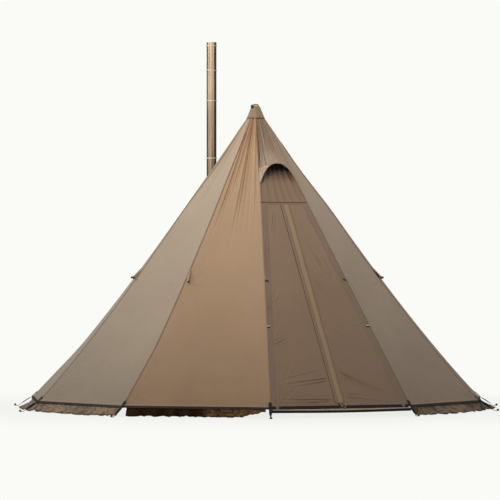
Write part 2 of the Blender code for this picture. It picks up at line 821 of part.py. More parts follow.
# Centre pole
def make_pole():
    """Tube sections that plug into each other, a rubber foot and a cap under the apex."""
    bore = POLE_R - POLE_WALL
    spigot = bore - POLE_FIT
    spigot_bore = spigot - POLE_WALL
    start = FOOT_FLOOR + REST_GAP
    length = (POLE_TOP - start) / POLE_SECTIONS
    axis = Matrix.Identity(4)
    for section in range(POLE_SECTIONS):
        low = start + section * length
        high = low + length - REST_GAP
        body = bmesh.new()
        profile = [(bore, low), (POLE_R, low), (POLE_R, high)]
        if section < POLE_SECTIONS - 1:
            profile += [(spigot, high), (spigot, high + SPIGOT), (spigot_bore, high + SPIGOT)]
            profile += [(spigot_bore, high - SPIGOT), (bore, high - SPIGOT - POLE_WALL)]
        else:
            profile += [(bore, high)]
        turned(body, profile, axis, 16, closed=True)
        finish(f"pole_section_{section + 1}", body, "aluminium", smooth=True)

    foot = bmesh.new()
    cup = POLE_R + POLE_FIT
    profile = [(cup, FOOT_FLOOR), (cup, FOOT_H), (cup + FOOT_WALL, FOOT_H)]
    profile += [(FOOT_R, FOOT_SHOULDER * FOOT_H), (FOOT_R, 0.0)]
    turned(foot, profile, axis, 16)
    finish("pole_foot", foot, "rubber", smooth=True)

    cap = bmesh.new()
    plug = bore - POLE_FIT
    top = POLE_TOP + POLE_CAP_H
    profile = [(plug, POLE_TOP - POLE_CAP_PLUG), (plug, POLE_TOP), (POLE_CAP_R, POLE_TOP)]
    profile += [(POLE_CAP_R, top - POLE_CAP_EASE), (POLE_CAP_R - POLE_CAP_EASE, top)]
    turned(cap, profile, axis, 16)
    finish("pole_cap", cap, "rubber", smooth=True)


# Door pieces
def make_door_frame():
    """The fixed cloth frame round the leaves, with the guy-out and toggle tabs sewn to it."""
    foot, top = LEAF_FOOT, LEAF_TOP + HEADER_GAP
    crown = top + HEADER_BAND
    outline = []
    for side in (-1, 1):
        edge = [(side * (half_width(crown) - DOOR_SEAM_GAP), crown)]
        edge += [(side * (half_width(foot) - DOOR_SEAM_GAP), foot)]
        edge += [(side * (half_width(foot) - EDGE_WIDTH + LEAF_GAP), foot)]
        edge += [(side * (half_width(top) - EDGE_WIDTH + LEAF_GAP), top)]
        outline += edge if side < 0 else list(reversed(edge))
    body = bmesh.new()
    plate(body, outline, -CLOTH, 0.0, DOOR)
    piece = finish("door_frame", body, "door")

    tabs = bmesh.new()
    ends = bmesh.new()
    up = slope(TIE_Z)
    half = TIE_TAB / 2
    for side in (-1, 1):
        across = side * (half_width(up) - TIE_IN)
        outline = [(across - half, up - half), (across + half, up - half)]
        outline += [(across + half, up + half), (across - half, up + half)]
        plate(tabs, outline, -CLOTH / 2, TAPE, DOOR)
        high = slope(GUY_Z + GUY_TAB_UP)
        low = slope(GUY_Z - GUY_TAB_DOWN)
        tip_up = slope(GUY_Z - GUY_TAB_DOWN - GUY_DROOP)
        tip = (side * (half_width(tip_up) - GUY_REACH / 2), tip_up)
        outline = [(side * (half_width(high) - 2 * DOOR_SEAM_GAP), high)]
        outline += [(side * (half_width(low) - 2 * DOOR_SEAM_GAP), low), tip]
        plate(tabs, outline, -CLOTH / 2, WEBBING, DOOR)
        turned(ends, guy_end_profile(WEBBING / 2), DOOR @ Matrix.Translation((*tip, 0.0)), 10)
    combine(piece, helper("door_tab_guide", tabs), "UNION")
    combine(piece, helper("door_guy_end_guide", ends), "UNION")


def make_leaf(side, name):
    """One door leaf with its hem webbing and its half of the zip."""
    frame = hinge_frame(side)
    foot_out = side * (half_width(LEAF_FOOT) - EDGE_WIDTH - LEAF_GAP)
    top_out = side * (half_width(LEAF_TOP) - EDGE_WIDTH - LEAF_GAP)
    body = bmesh.new()
    outline = [(foot_out, LEAF_FOOT), (side * LEAF_CENTRE, LEAF_FOOT)]
    outline += [(side * LEAF_CENTRE, LEAF_TOP), (top_out, LEAF_TOP)]
    plate(body, outline, -CLOTH, 0.0, DOOR)
    leaf = finish(f"door_{name}", body, "door", frame)

    hem = bmesh.new()
    hem_top = LEAF_FOOT + LEAF_HEM
    hem_out = side * (half_width(hem_top) - EDGE_WIDTH - LEAF_HEM_TRIM)
    outline = [(side * (half_width(LEAF_FOOT) - EDGE_WIDTH - LEAF_HEM_TRIM), LEAF_FOOT)]
    outline += [(side * LEAF_CENTRE, LEAF_FOOT)]
    outline += [(side * LEAF_CENTRE, hem_top), (hem_out, hem_top)]
    plate(hem, outline, REST_GAP, REST_GAP + WEBBING, DOOR)
    hem_piece = finish(f"door_hem_{name}", hem, "webbing", frame)

    zip_half = bmesh.new()
    tape_high = -CLOTH - REST_GAP
    tape_low = tape_high - TAPE
    bead_in = BEAD_HALF_GAP
    bead_out = BEAD_HALF_GAP + BEAD_WIDTH
    section = [(TAPE_OUT, tape_low), (bead_out, tape_low), (bead_out, BEAD_LOW), (bead_in, BEAD_LOW)]
    section += [(bead_in, BEAD_HIGH), (bead_out, BEAD_HIGH), (bead_out, tape_high), (TAPE_OUT, tape_high)]
    outline = [(side * across, out) for across, out in section]
    plate(zip_half, outline, -ZIP_TOP, -ZIP_FOOT, section_frame())
    zip_piece = finish(f"zip_{name}", zip_half, "black", frame)
    carry(leaf, hem_piece, zip_piece)
    return leaf


def section_frame():
    """Frame for sections that run up the door: X across, Y out of the door, Z down the slope."""
    axes = Matrix((DOOR.col[0].to_3d(), DOOR.col[2].to_3d(), -DOOR.col[1].to_3d()))
    frame = axes.transposed().to_4x4()
    frame.translation = DOOR.translation
    return frame


def make_slider():
    """The zip slider, which spans both coils, and the puller on its post."""
    plate_low = BEAD_LOW - SLIDER_FIT
    plate_high = BEAD_HIGH + SLIDER_FIT
    top = plate_high + SLIDER_PLATE
    bottom = plate_low - SLIDER_PLATE
    section = [(-SLIDER_LEFT, bottom), (SLIDER_RIGHT, bottom), (SLIDER_RIGHT, plate_low)]
    section += [(SLIDER_WEB, plate_low), (SLIDER_WEB, plate_high), (SLIDER_RIGHT, plate_high)]
    section += [(SLIDER_RIGHT, top), (-SLIDER_LEFT, top), (-SLIDER_LEFT, plate_high)]
    section += [(-SLIDER_WEB, plate_high), (-SLIDER_WEB, plate_low), (-SLIDER_LEFT, plate_low)]
    body = bmesh.new()
    head = SLIDER_FOOT + SLIDER_LENGTH
    plate(body, section, -head, -SLIDER_FOOT, section_frame())
    middle = SLIDER_FOOT + SLIDER_LENGTH / 2
    frame = DOOR @ Matrix.Translation((0.0, middle, 0.0))
    slider = finish("zip_slider", body, "black", frame)
    post = bmesh.new()
    turned(post, [(POST_R, top - SLIDER_PLATE / 2), (POST_R, PULL_HIGH + REST_GAP)], frame, 10)
    combine(slider, helper("zip_post_guide", post), "UNION")

    pull = bmesh.new()
    half = PULL_WIDTH / 2
    foot = -PULL_LENGTH
    outline = [(-half, foot), (half, foot), (half, half), (-half, half)]
    plate(pull, outline, PULL_LOW, PULL_HIGH, frame)
    puller = finish("zip_pull", pull, "black", frame)
    hole = bmesh.new()
    turned(hole, [(PULL_HOLE, PULL_LOW - CLOTH), (PULL_HOLE, PULL_HIGH + CLOTH)], frame, 12)
    combine(puller, helper("zip_pull_hole_guide", hole), "DIFFERENCE")
    carry(slider, puller)
    return slider


def make_storm_flap():
    """The flap over the zip, sewn to the left leaf along one edge, with the hook at its foot."""
    section = [(-FLAP_HALF, REST_GAP), (-FLAP_HALF + FLAP_LIP, REST_GAP)]
    section += [(-FLAP_HALF + FLAP_LIP, FLAP_LOW), (FLAP_HALF, FLAP_LOW)]
    section += [(FLAP_HALF, FLAP_HIGH), (-FLAP_HALF, FLAP_HIGH)]
    body = bmesh.new()
    plate(body, section, -ZIP_TOP, -FLAP_FOOT, section_frame())
    frame = DOOR @ Matrix.Translation((-FLAP_HALF, FLAP_FOOT, FLAP_HIGH))
    flap = finish("storm_flap", body, "canopy", frame)

    hook = bmesh.new()
    route = [(HOOK_X, FLAP_FOOT - REST_GAP, HOOK_HIGH)]
    for turn in even(4, 0.0, HOOK_TURN):
        rise = HOOK_CURL * (1 - math.cos(turn))
        route.append((HOOK_X, -HOOK_CURL * math.sin(turn), HOOK_HIGH + rise))
    rod(hook, [DOOR @ Vector(point) for point in route], HOOK_R)
    hook_piece = finish("flap_hook", hook, "binding", frame, smooth=True)
    carry(flap, hook_piece)
    return flap


def make_ties():
    """Tie-back toggles beside the door: a T bar that turns on its sewn tab."""
    up = slope(TIE_Z)
    for side, name in ((-1, "left"), (1, "right")):
        across = side * (half_width(up) - TIE_IN)
        frame = DOOR @ Matrix.Translation((across, up, 0.0))
        lying = frame @ Matrix.Translation((0, 0, TIE_BAR_W)) @ Matrix.Rotation(math.pi / 2, 4, "Y")
        bar = bmesh.new()
        profile = [(TIE_BAR_R - TIE_BAR_EASE, -TIE_BAR_HALF), (TIE_BAR_R, TIE_BAR_EASE - TIE_BAR_HALF)]
        profile += [(TIE_BAR_R, -TIE_WAIST_OUT), (TIE_BAR_WAIST, -TIE_WAIST_IN)]
        profile += [(TIE_BAR_WAIST, TIE_WAIST_IN), (TIE_BAR_R, TIE_WAIST_OUT)]
        profile += [(TIE_BAR_R, TIE_BAR_HALF - TIE_BAR_EASE)]
        profile += [(TIE_BAR_R - TIE_BAR_EASE, TIE_BAR_HALF)]
        turned(bar, profile, lying, 12)
        toggle = finish(f"toggle_{name}", bar, "black", frame, smooth=True)
        stem = bmesh.new()
        turned(stem, [(TIE_STEM_R, TAPE + REST_GAP), (TIE_STEM_R, TIE_BAR_W)], frame, 10)
        combine(toggle, helper(f"toggle_{name}_stem_guide", stem), "UNION")


# Vent pieces
def hood_point(share, drop, out=0.0):
    """A point of the hood: share runs across it, drop from its top edge to its brim."""
    side = 2 * share - 1
    top_half = half_width(HOOD_TOP) - DOOR_SEAM_GAP
    end_half = half_width(BRIM_END) - DOOR_SEAM_GAP
    arch = 1 - abs(side) ** BRIM_POWER
    top = Vector((side * top_half, HOOD_TOP, 0.0))
    brim = Vector((side * end_half, BRIM_END + BRIM_RISE * arch, 0.0))
    spot = top.lerp(brim, drop)
    spot.z = BRIM_STAND * arch * drop ** HOOD_SWELL + out
    return DOOR @ spot


def make_vent():
    """The head panel under the cap, the arched hood with its bound brim, and the pleated vent panel."""
    head = bmesh.new()
    foot = HOOD_TOP + REST_GAP
    top = slope(WALL_TOP)
    outline = [(-half_width(foot) + DOOR_SEAM_GAP, foot), (half_width(foot) - DOOR_SEAM_GAP, foot)]
    outline += [(half_width(top) - DOOR_SEAM_GAP, top), (-half_width(top) + DOOR_SEAM_GAP, top)]
    plate(head, outline, -CLOTH, 0.0, DOOR)
    finish("head_panel", head, "canopy")

    hood = bmesh.new()
    shares = even(HOOD_COLUMNS)
    drops = even(HOOD_ROWS)
    outer = [[hood_point(s, d) for s in shares] for d in drops]
    inner = [[hood_point(s, d, -CLOTH) for s in shares] for d in drops]
    sheet(hood, outer, inner)
    finish("vent_hood", hood, "canopy", smooth=True)

    binding = bmesh.new()
    path = []
    for share in shares[1:-1]:
        edge = hood_point(share, 1.0)
        along = (hood_point(share + BRIM_STEP, 1.0) - hood_point(share - BRIM_STEP, 1.0)).normalized()
        down = edge - hood_point(share, 1.0 - BRIM_BACK)
        down = (down - along * down.dot(along)).normalized()
        path.append(edge + down * (BINDING_R + BINDING_GAP) - DOOR.col[2].to_3d() * CLOTH / 2)
    rod(binding, path, BINDING_R)
    finish("hood_binding", binding, "binding", smooth=True)

    vent = bmesh.new()
    foot = HEADER_FOOT + HEADER_BAND + 2 * REST_GAP
    top = HOOD_TOP - REST_GAP
    grids = ([], [])
    for up in even(VENT_ROWS, foot, top):
        sink = min((up - foot) / VENT_SINK_RUN, 1.0)
        rows = ([], [])
        for share in even(VENT_COLUMNS):
            across = (2 * share - 1) * (half_width(up) - VENT_SIDE_GAP)
            fold = 0.5 - 0.5 * math.cos(math.tau * VENT_PLEATS * share)
            depth = VENT_PLEAT_FOOT + (1 - VENT_PLEAT_FOOT) * (up - foot) / (top - foot)
            out = -VENT_SINK * sink - VENT_PLEAT * fold * depth
            rows[0].append(DOOR @ Vector((across, up, out)))
            rows[1].append(DOOR @ Vector((across, up, out - CLOTH)))
        grids[0].append(rows[0])
        grids[1].append(rows[1])
    sheet(vent, grids[0], grids[1])
    finish("vent_panel", vent, "door", smooth=True)


# Stove pipe and the way through the wall
def pipe_axis():
    """Frame on the ground under the stove pipe, square to the world's axes."""
    return Matrix.Translation(outward(PIPE_BEARING) * PIPE_DISTANCE)


def jack_spot():
    """Share across the jack wall, and the height, where the pipe's axis meets the wall's outer face."""
    start = CORNER_BEARINGS[JACK_WALL]
    spread = math.radians(CORNER_BEARINGS[JACK_WALL + 1] - start) / 2
    turn = math.radians(PIPE_BEARING - middle_bearing(JACK_WALL))
    share = 0.5 + math.tan(turn) / math.tan(spread) / 2
    low, high = WALL_FOOT, WALL_TOP
    for _ in range(40):
        height = (low + high) / 2
        spot = wall_point(JACK_WALL, share, height, 0.0, JACK_COLUMNS)
        if math.hypot(spot.x, spot.y) > PIPE_DISTANCE:
            low = height
        else:
            high = height
    return share, height


def make_jack(walls):
    """The hole in the rear wall, the heat-proof patch over it and the sleeve round the pipe."""
    share, height = jack_spot()
    axis = pipe_axis()
    sleeve_in = PIPE_R + SLEEVE_FIT
    sleeve_out = sleeve_in + SLEEVE_WALL
    low, high = height - SLEEVE_HALF, height + SLEEVE_HALF

    wall_hole = bmesh.new()
    reach = (low - WALL_CUT_REACH, high + WALL_CUT_REACH)
    turned(wall_hole, [(WALL_HOLE_R, height) for height in reach], axis, PIPE_SIDES)
    combine(walls[JACK_WALL], helper("wall_hole_guide", wall_hole), "DIFFERENCE")

    first = round(share * JACK_COLUMNS - PATCH_CELLS / 2)
    shares = [step / JACK_COLUMNS for step in range(first, first + PATCH_CELLS + 1)]
    row = round((height - WALL_FOOT) / ROW_HEIGHT - PATCH_ROWS / 2)
    heights = [WALL_FOOT + step * ROW_HEIGHT for step in range(row, row + PATCH_ROWS + 1)]
    patch_low = LAY_GAP
    patch_high = LAY_GAP + PATCH_CLOTH / math.cos(DOOR_LEAN)
    patch = bmesh.new()
    wall_cloth(patch, JACK_WALL, heights, shares, patch_low, patch_high, JACK_COLUMNS)
    patch_piece = finish("jack_patch", patch, "jack")
    patch_hole = bmesh.new()
    hole_r = sleeve_out + SLEEVE_FIT
    turned(patch_hole, [(hole_r, height) for height in reach], axis, PIPE_SIDES)
    combine(patch_piece, helper("patch_hole_guide", patch_hole), "DIFFERENCE")

    sleeve = bmesh.new()
    profile = [(sleeve_in, low), (sleeve_out, low), (sleeve_out, high), (sleeve_in, high)]
    turned(sleeve, profile, axis, PIPE_SIDES, closed=True)
    finish("jack_sleeve", sleeve, "rubber", smooth=True)


def make_pipe():
    """The rolled pipe with its retaining rings pressed on, and the damper on its shaft."""
    axis = pipe_axis()
    bore = PIPE_R - PIPE_WALL
    foot = STOVE_HIGH + 2 * REST_GAP
    body = bmesh.new()
    profile = [(bore, foot), (PIPE_R, foot)]
    for drop in sorted(RING_DROPS, reverse=True):
        low = PIPE_TOP - drop - RING_H / 2
        high = low + RING_H
        profile += [(PIPE_R, low), (PIPE_R + RING_WALL, low), (PIPE_R + RING_WALL, high), (PIPE_R, high)]
    profile += [(PIPE_R, PIPE_TOP), (bore, PIPE_TOP)]
    turned(body, profile, axis, PIPE_SIDES, closed=True)
    pipe = finish("stove_pipe", body, "titanium", smooth=True)

    centre = axis @ Matrix.Translation((0.0, 0.0, DAMPER_Z))
    lying = centre @ Matrix.Rotation(math.pi / 2, 4, "Y")
    bores = bmesh.new()
    reach = PIPE_R + DAMPER_CUT_REACH
    turned(bores, [(DAMPER_HOLE_R, -reach), (DAMPER_HOLE_R, reach)], lying, 12)
    combine(pipe, helper("damper_bore_guide", bores), "DIFFERENCE")

    shaft = bmesh.new()
    knob_start = PIPE_R + DAMPER_STAND
    knob_end = knob_start + DAMPER_KNOB
    profile = [(DAMPER_SHAFT_R, -PIPE_R - DAMPER_END), (DAMPER_SHAFT_R, knob_start)]
    profile += [(DAMPER_KNOB_R, knob_start), (DAMPER_KNOB_R, knob_end)]
    turned(shaft, profile, lying, 12)
    damper = finish("damper", shaft, "steel", centre, smooth=True)
    disc = bmesh.new()
    disc_r = bore * math.cos(math.pi / PIPE_SIDES) - DAMPER_FIT
    upright = centre @ Matrix.Rotation(math.pi / 2, 4, "X")
    turned(disc, [(disc_r, -DAMPER_PLATE / 2), (disc_r, DAMPER_PLATE / 2)], upright, 24)
    combine(damper, helper("damper_disc_guide", disc), "UNION")


# Box stove under the pipe
def make_stove():
    """The firebox on four legs, the flue collar, and the door with its hinge, knob and air dial."""
    frame = pipe_axis()
    body = bmesh.new()
    block(body, (-STOVE_HALF, -STOVE_FRONT, STOVE_LOW), (STOVE_HALF, STOVE_REAR, STOVE_HIGH), frame)
    stove = finish("stove_body", body, "titanium")
    hollow = bmesh.new()
    low = (STOVE_WALL - STOVE_HALF, STOVE_WALL - STOVE_FRONT, STOVE_LOW + STOVE_WALL)
    high = (STOVE_HALF - STOVE_WALL, STOVE_REAR - STOVE_WALL, STOVE_HIGH - STOVE_WALL)
    block(hollow, low, high, frame)
    combine(stove, helper("firebox_guide", hollow), "DIFFERENCE")
    mouth = bmesh.new()
    low = (-MOUTH_HALF, -STOVE_FRONT - PLATE_CUT_REACH, MOUTH_LOW)
    high = (MOUTH_HALF, -STOVE_FRONT + PLATE_CUT_REACH, MOUTH_HIGH)
    block(mouth, low, high, frame)
    combine(stove, helper("stove_mouth_guide", mouth), "DIFFERENCE")
    flue = bmesh.new()
    cut_low, cut_high = STOVE_HIGH - PLATE_CUT_REACH, STOVE_HIGH + PLATE_CUT_REACH
    turned(flue, [(FLUE_HOLE_R, cut_low), (FLUE_HOLE_R, cut_high)], frame, PIPE_SIDES)
    combine(stove, helper("flue_hole_guide", flue), "DIFFERENCE")

    collar = bmesh.new()
    collar_in = PIPE_R + POLE_FIT
    collar_out = collar_in + COLLAR_WALL
    low, high = STOVE_HIGH + REST_GAP, STOVE_HIGH + COLLAR_H
    profile = [(collar_in, low), (collar_out, low), (collar_out, high), (collar_in, high)]
    turned(collar, profile, frame, PIPE_SIDES, closed=True)
    finish("flue_collar", collar, "steel", smooth=True)

    stand = bmesh.new()
    corners = [(-1, -1), (1, -1), (1, 1), (-1, 1)]
    middle = (STOVE_REAR - STOVE_FRONT) / 2
    reach_x = STOVE_HALF - LEG_INSET
    reach_y = (STOVE_REAR + STOVE_FRONT) / 2 - LEG_INSET
    top = STOVE_LOW - REST_GAP
    rings = []
    for grow, height in ((1, top - STAND_RAIL), (1, top), (-1, top), (-1, top - STAND_RAIL)):
        half = grow * STAND_RAIL / 2
        ring = []
        for across, along in corners:
            spot = Vector((across * (reach_x + half), middle + along * (reach_y + half), height))
            ring.append(stand.verts.new(frame @ spot))
        rings.append(ring)
    bridge(stand, rings, closed=True)
    stand_piece = finish("stove_stand", stand, "steel")
    legs = bmesh.new()
    for across, along in corners:
        spot = Matrix.Translation((across * reach_x, middle + along * reach_y, 0.0))
        profile = [(LEG_FOOT_R, 0.0), (LEG_FOOT_R, LEG_FOOT), (LEG_R, LEG_FOOT)]
        profile += [(LEG_R, top - STAND_RAIL / 2)]
        turned(legs, profile, frame @ spot, 10)
    combine(stand_piece, helper("stove_leg_guide", legs), "UNION")
    make_stove_door(frame)


def make_stove_door(frame):
    """The stove's door on its pin, with its knob, and the air dial that turns on the door's rivet."""
    back = -STOVE_FRONT - REST_GAP
    front = back - STOVE_DOOR
    pin_x = -MOUTH_HALF - DOOR_LAP - BARREL_R - 2 * REST_GAP
    pin_y = back - BARREL_R
    pin = frame @ Matrix.Translation((pin_x, pin_y, 0.0))
    middle = (BARREL_LOW + BARREL_HIGH) / 2

    hinge = bmesh.new()
    knuckle_low = middle - KNUCKLE_HALF - REST_GAP
    knuckle_high = middle + KNUCKLE_HALF + REST_GAP
    profile = [(BARREL_R, BARREL_LOW), (BARREL_R, knuckle_low), (PIN_R, knuckle_low)]
    profile += [(PIN_R, knuckle_high), (BARREL_R, knuckle_high), (BARREL_R, BARREL_HIGH)]
    turned(hinge, profile, pin, 16)
    finish("stove_hinge", hinge, "steel", smooth=True)

    swing = pin @ Matrix.Translation((0.0, 0.0, middle))
    flat = frame @ Matrix(((1, 0, 0, 0), (0, 0, -1, 0), (0, 1, 0, 0), (0, 0, 0, 1)))
    door = bmesh.new()
    half, low, high = MOUTH_HALF + DOOR_LAP, MOUTH_LOW - DOOR_LAP, MOUTH_HIGH + DOOR_LAP
    outline = [(-half, low), (half, low), (half, high), (-half, high)]
    plate(door, outline, -back, -front, flat)
    door_piece = finish("stove_door", door, "titanium", swing)
    tongue = bmesh.new()
    tongue_half = KNUCKLE_HALF - STOVE_DOOR
    knuckle_in = PIN_R + PIN_FIT
    start, end = pin_x + knuckle_in + PIN_FIT, DOOR_LAP - half
    outline = [(start, middle - tongue_half), (end, middle - tongue_half)]
    outline += [(end, middle + tongue_half), (start, middle + tongue_half)]
    plate(tongue, outline, -back, -front, flat)
    combine(door_piece, helper("door_tongue_guide", tongue), "UNION")

    dial_centre = Matrix.Translation((0.0, AIR_Z, 0.0))
    dial_back = -front + REST_GAP
    dial_front = dial_back + AIR_DIAL
    sunk = -front - STOVE_DOOR / 2
    fittings = bmesh.new()
    profile = [(knuckle_in, -KNUCKLE_HALF), (BARREL_R, -KNUCKLE_HALF)]
    profile += [(BARREL_R, KNUCKLE_HALF), (knuckle_in, KNUCKLE_HALF)]
    turned(fittings, profile, swing, 16, closed=True)
    rivet = [(AIR_RIVET_R, sunk), (AIR_RIVET_R, dial_front + REST_GAP)]
    turned(fittings, rivet, flat @ dial_centre, 12)
    knob_spot = flat @ Matrix.Translation((KNOB_X, KNOB_Z, 0.0))
    neck = STOVE_NECK * STOVE_KNOB_R
    profile = [(neck, sunk), (neck, -front + STOVE_NECK_END * STOVE_KNOB)]
    profile += [(STOVE_KNOB_R, -front + STOVE_KNOB_START * STOVE_KNOB)]
    profile += [(STOVE_KNOB_R, -front + STOVE_KNOB)]
    turned(fittings, profile, knob_spot, 14)
    combine(door_piece, helper("door_fittings_guide", fittings), "UNION")

    dial = bmesh.new()
    hole = AIR_RIVET_R + PIN_FIT
    profile = [(hole, dial_back), (AIR_DIAL_R, dial_back), (AIR_DIAL_R, dial_front), (hole, dial_front)]
    turned(dial, profile, flat @ dial_centre, 24, closed=True)
    dial_frame = flat @ dial_centre @ Matrix.Translation((0.0, 0.0, dial_back))
    dial_piece = finish("air_dial", dial, "steel", dial_frame)
    holes = bmesh.new()
    for step in range(AIR_HOLES):
        angle = math.tau * step / AIR_HOLES
        spot = (AIR_RING_R * math.cos(angle), AIR_Z + AIR_RING_R * math.sin(angle), 0.0)
        reach = [(AIR_HOLE_R, -back - AIR_CUT_REACH), (AIR_HOLE_R, dial_front + AIR_CUT_REACH)]
        turned(holes, reach, flat @ Matrix.Translation(spot), 12)
    guide = helper("air_holes_guide", holes)
    combine(door_piece, guide, "DIFFERENCE")
    combine(dial_piece, guide, "DIFFERENCE")
    carry(door_piece, dial_piece)


def main():
    """Build every piece of the tent."""
    clear_scene()
    walls = make_walls()
    make_hem_webbing()
    make_skirts()
    make_peg_straps()
    make_sill_strap()
    make_guy_tabs(walls)
    make_apex()
    make_pole()
    make_door_frame()
    left = make_leaf(-1, "left")
    make_leaf(1, "right")
    slider = make_slider()
    flap = make_storm_flap()
    carry(left, slider, flap)
    make_ties()
    make_vent()
    make_jack(walls)
    make_pipe()
    make_stove()
    bpy.context.view_layer.update()


main()
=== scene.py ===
# %% [markdown]
# # A ten-sided pyramid tent with a stove pipe
#
# The real tent is a cone of thin coated cloth. Ten panels hang from one peak, a pole pushes the
# peak up, and a strap at each corner pulls the hem down and out. The engineering model already
# gives every piece its place, so this lesson only dresses it. We load that model first, and every
# cloth, cord and knob below is laid over the solid that it stands for.

# %% Load the frame
import json
import math

import bpy
import numpy as np
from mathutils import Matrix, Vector

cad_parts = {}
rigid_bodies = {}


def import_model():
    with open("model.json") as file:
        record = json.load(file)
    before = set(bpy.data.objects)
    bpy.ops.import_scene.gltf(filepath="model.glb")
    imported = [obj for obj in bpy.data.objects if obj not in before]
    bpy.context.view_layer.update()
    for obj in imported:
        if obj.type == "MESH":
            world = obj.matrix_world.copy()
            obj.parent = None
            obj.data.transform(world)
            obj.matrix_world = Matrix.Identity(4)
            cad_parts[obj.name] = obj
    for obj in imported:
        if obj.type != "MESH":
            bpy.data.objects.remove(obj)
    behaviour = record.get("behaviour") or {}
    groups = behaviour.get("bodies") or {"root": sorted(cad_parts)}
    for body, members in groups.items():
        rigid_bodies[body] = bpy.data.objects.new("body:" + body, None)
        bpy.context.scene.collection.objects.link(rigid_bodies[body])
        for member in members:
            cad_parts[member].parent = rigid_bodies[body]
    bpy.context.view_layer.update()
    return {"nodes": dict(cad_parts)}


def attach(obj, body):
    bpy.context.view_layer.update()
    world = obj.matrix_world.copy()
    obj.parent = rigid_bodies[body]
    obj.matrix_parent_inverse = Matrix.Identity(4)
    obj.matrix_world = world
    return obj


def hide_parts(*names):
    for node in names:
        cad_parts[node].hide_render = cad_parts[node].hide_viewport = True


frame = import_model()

# %% [markdown]
# ## The plan of the tent
#
# A pyramid tent is drawn with very few numbers: where each corner is pegged, how high the peak
# stands, and how far a seam sags between the two. We keep them as named values, because every
# cloth panel, seam and strap is worked out from the same ones.

# %% The numbers of the plan
CORNER_BEARINGS = (3.3, 39.6, 72.9, 100.4, 140.1, 179.8, 219.5, 259.1, 292.4, 326.7)
CORNERS = len(CORNER_BEARINGS)
CORNER_R, APEX_R = 1.83, 0.030
HEM_Z, APEX_Z = 0.075, 2.40
SEAM_SAG, SEAM_SAG_SKEW = 0.075, 0.72
PANEL_SAG = 0.014
TOP_TRIM, TRIM_TOP = 0.030, (1.52, 2.00)
SIDE_TRIMS, TRIM_SIDE = {7: 0.026, 9: 0.034}, (0.15, 0.55)
WALL_FOOT, WALL_TOP = 0.070, 2.360
CAP_FOOT = 2.300
WALLS = range(1, CORNERS)
TAB_Z = 1.030
SIDES = ((-1, "left"), (1, "right"))
UPRIGHT = np.array((0.0, 0.0, 1.0))


def outward(bearing):
    """Unit vector on the ground, away from the pole. Bearing 0 faces the camera."""
    angle = math.radians(bearing)
    return np.array((math.sin(angle), -math.cos(angle), 0.0))


def sideways(bearing):
    """Unit vector on the ground towards rising bearings."""
    return outward(bearing + 90)


def ease(low, high, value):
    """A smooth step from 0 at low to 1 at high."""
    share = np.clip((np.asarray(value, float) - low) / (high - low), 0.0, 1.0)
    return share * share * (3 - 2 * share)


def straight_radius(height):
    return CORNER_R + (APEX_R - CORNER_R) * (height - HEM_Z) / (APEX_Z - HEM_Z)


def ridge_radius(corner, height):
    """How far a ridge seam is from the pole. The door's two seams are straight, the others sag."""
    corner %= CORNERS
    if corner < 2:
        return straight_radius(height)
    share = np.clip((height - HEM_Z) / (APEX_Z - HEM_Z), 0.0, 1.0)
    upper = ease(*TRIM_TOP, height)
    trim = TOP_TRIM * upper * np.clip((APEX_Z - height) / 0.10, 0.0, 1.0)
    trim = trim + SIDE_TRIMS.get(corner, 0.0) * ease(*TRIM_SIDE, height) * (1 - upper)
    return straight_radius(height) - SEAM_SAG * np.sin(math.pi * share ** SEAM_SAG_SKEW) - trim


def ridge(corner, height, out=0.0):
    """Points on a ridge, for one height or many."""
    height = np.asarray(height, float)
    radius = ridge_radius(corner, height) + out
    spot = outward(CORNER_BEARINGS[corner % CORNERS]) * radius[..., None]
    spot[..., 2] = height
    return spot


print(f"{CORNERS} corners, {2 * CORNER_R:.2f} m across, {APEX_Z:.2f} m high")

# %% [markdown]
# ## The camera
#
# The photograph was taken from far away with a long lens, level with a person's chest. The near
# and the far hem lie almost on one line, which is what a long lens does.

# %% Camera
CAMERA_SPOT = (-0.045, -28.27, 1.254)
FOCAL_PIXELS, FRAME_PIXELS = 3555, 500


def placed(name, data):
    """A new object in the scene that shows a mesh, a lamp or the camera."""
    made = bpy.data.objects.new(name, data)
    bpy.context.scene.collection.objects.link(made)
    return made


lens = bpy.data.cameras.new("camera")
lens.sensor_width = 36.0
lens.lens = FOCAL_PIXELS / FRAME_PIXELS * lens.sensor_width
lens.clip_end = 200.0
camera = placed("camera", lens)
camera.location = CAMERA_SPOT
camera.rotation_euler = (math.pi / 2, 0.0, 0.0)
bpy.context.scene.camera = camera
print(f"lens {lens.lens:.0f} mm")

# %% [markdown]
# ## Writing materials like sums
#
# A material is a small network of nodes. Written by hand it takes many lines, so we wrap one
# socket in a class that knows + and *, and one method that adds any other node.

# %% Shader helpers
class Tone:
    """A number that changes over a surface; arithmetic on it adds Math nodes."""

    def __init__(self, finish, socket):
        self.finish, self.socket = finish, socket

    def math(self, operation, other=0.0):
        made = self.finish.node("Math", {"operation": operation}, {0: self, 1: other})
        return Tone(self.finish, made.outputs[0])

    def __add__(self, other):
        return self.math("ADD", other)

    def __sub__(self, other):
        return self.math("SUBTRACT", other)

    def __mul__(self, other):
        return self.math("MULTIPLY", other)

    def __truediv__(self, other):
        return self.math("DIVIDE", other)

    def __pow__(self, other):
        return self.math("POWER", other)

    def sin(self):
        return self.math("SINE")

    def size(self):
        return self.math("ABSOLUTE")

    __radd__ = __add__


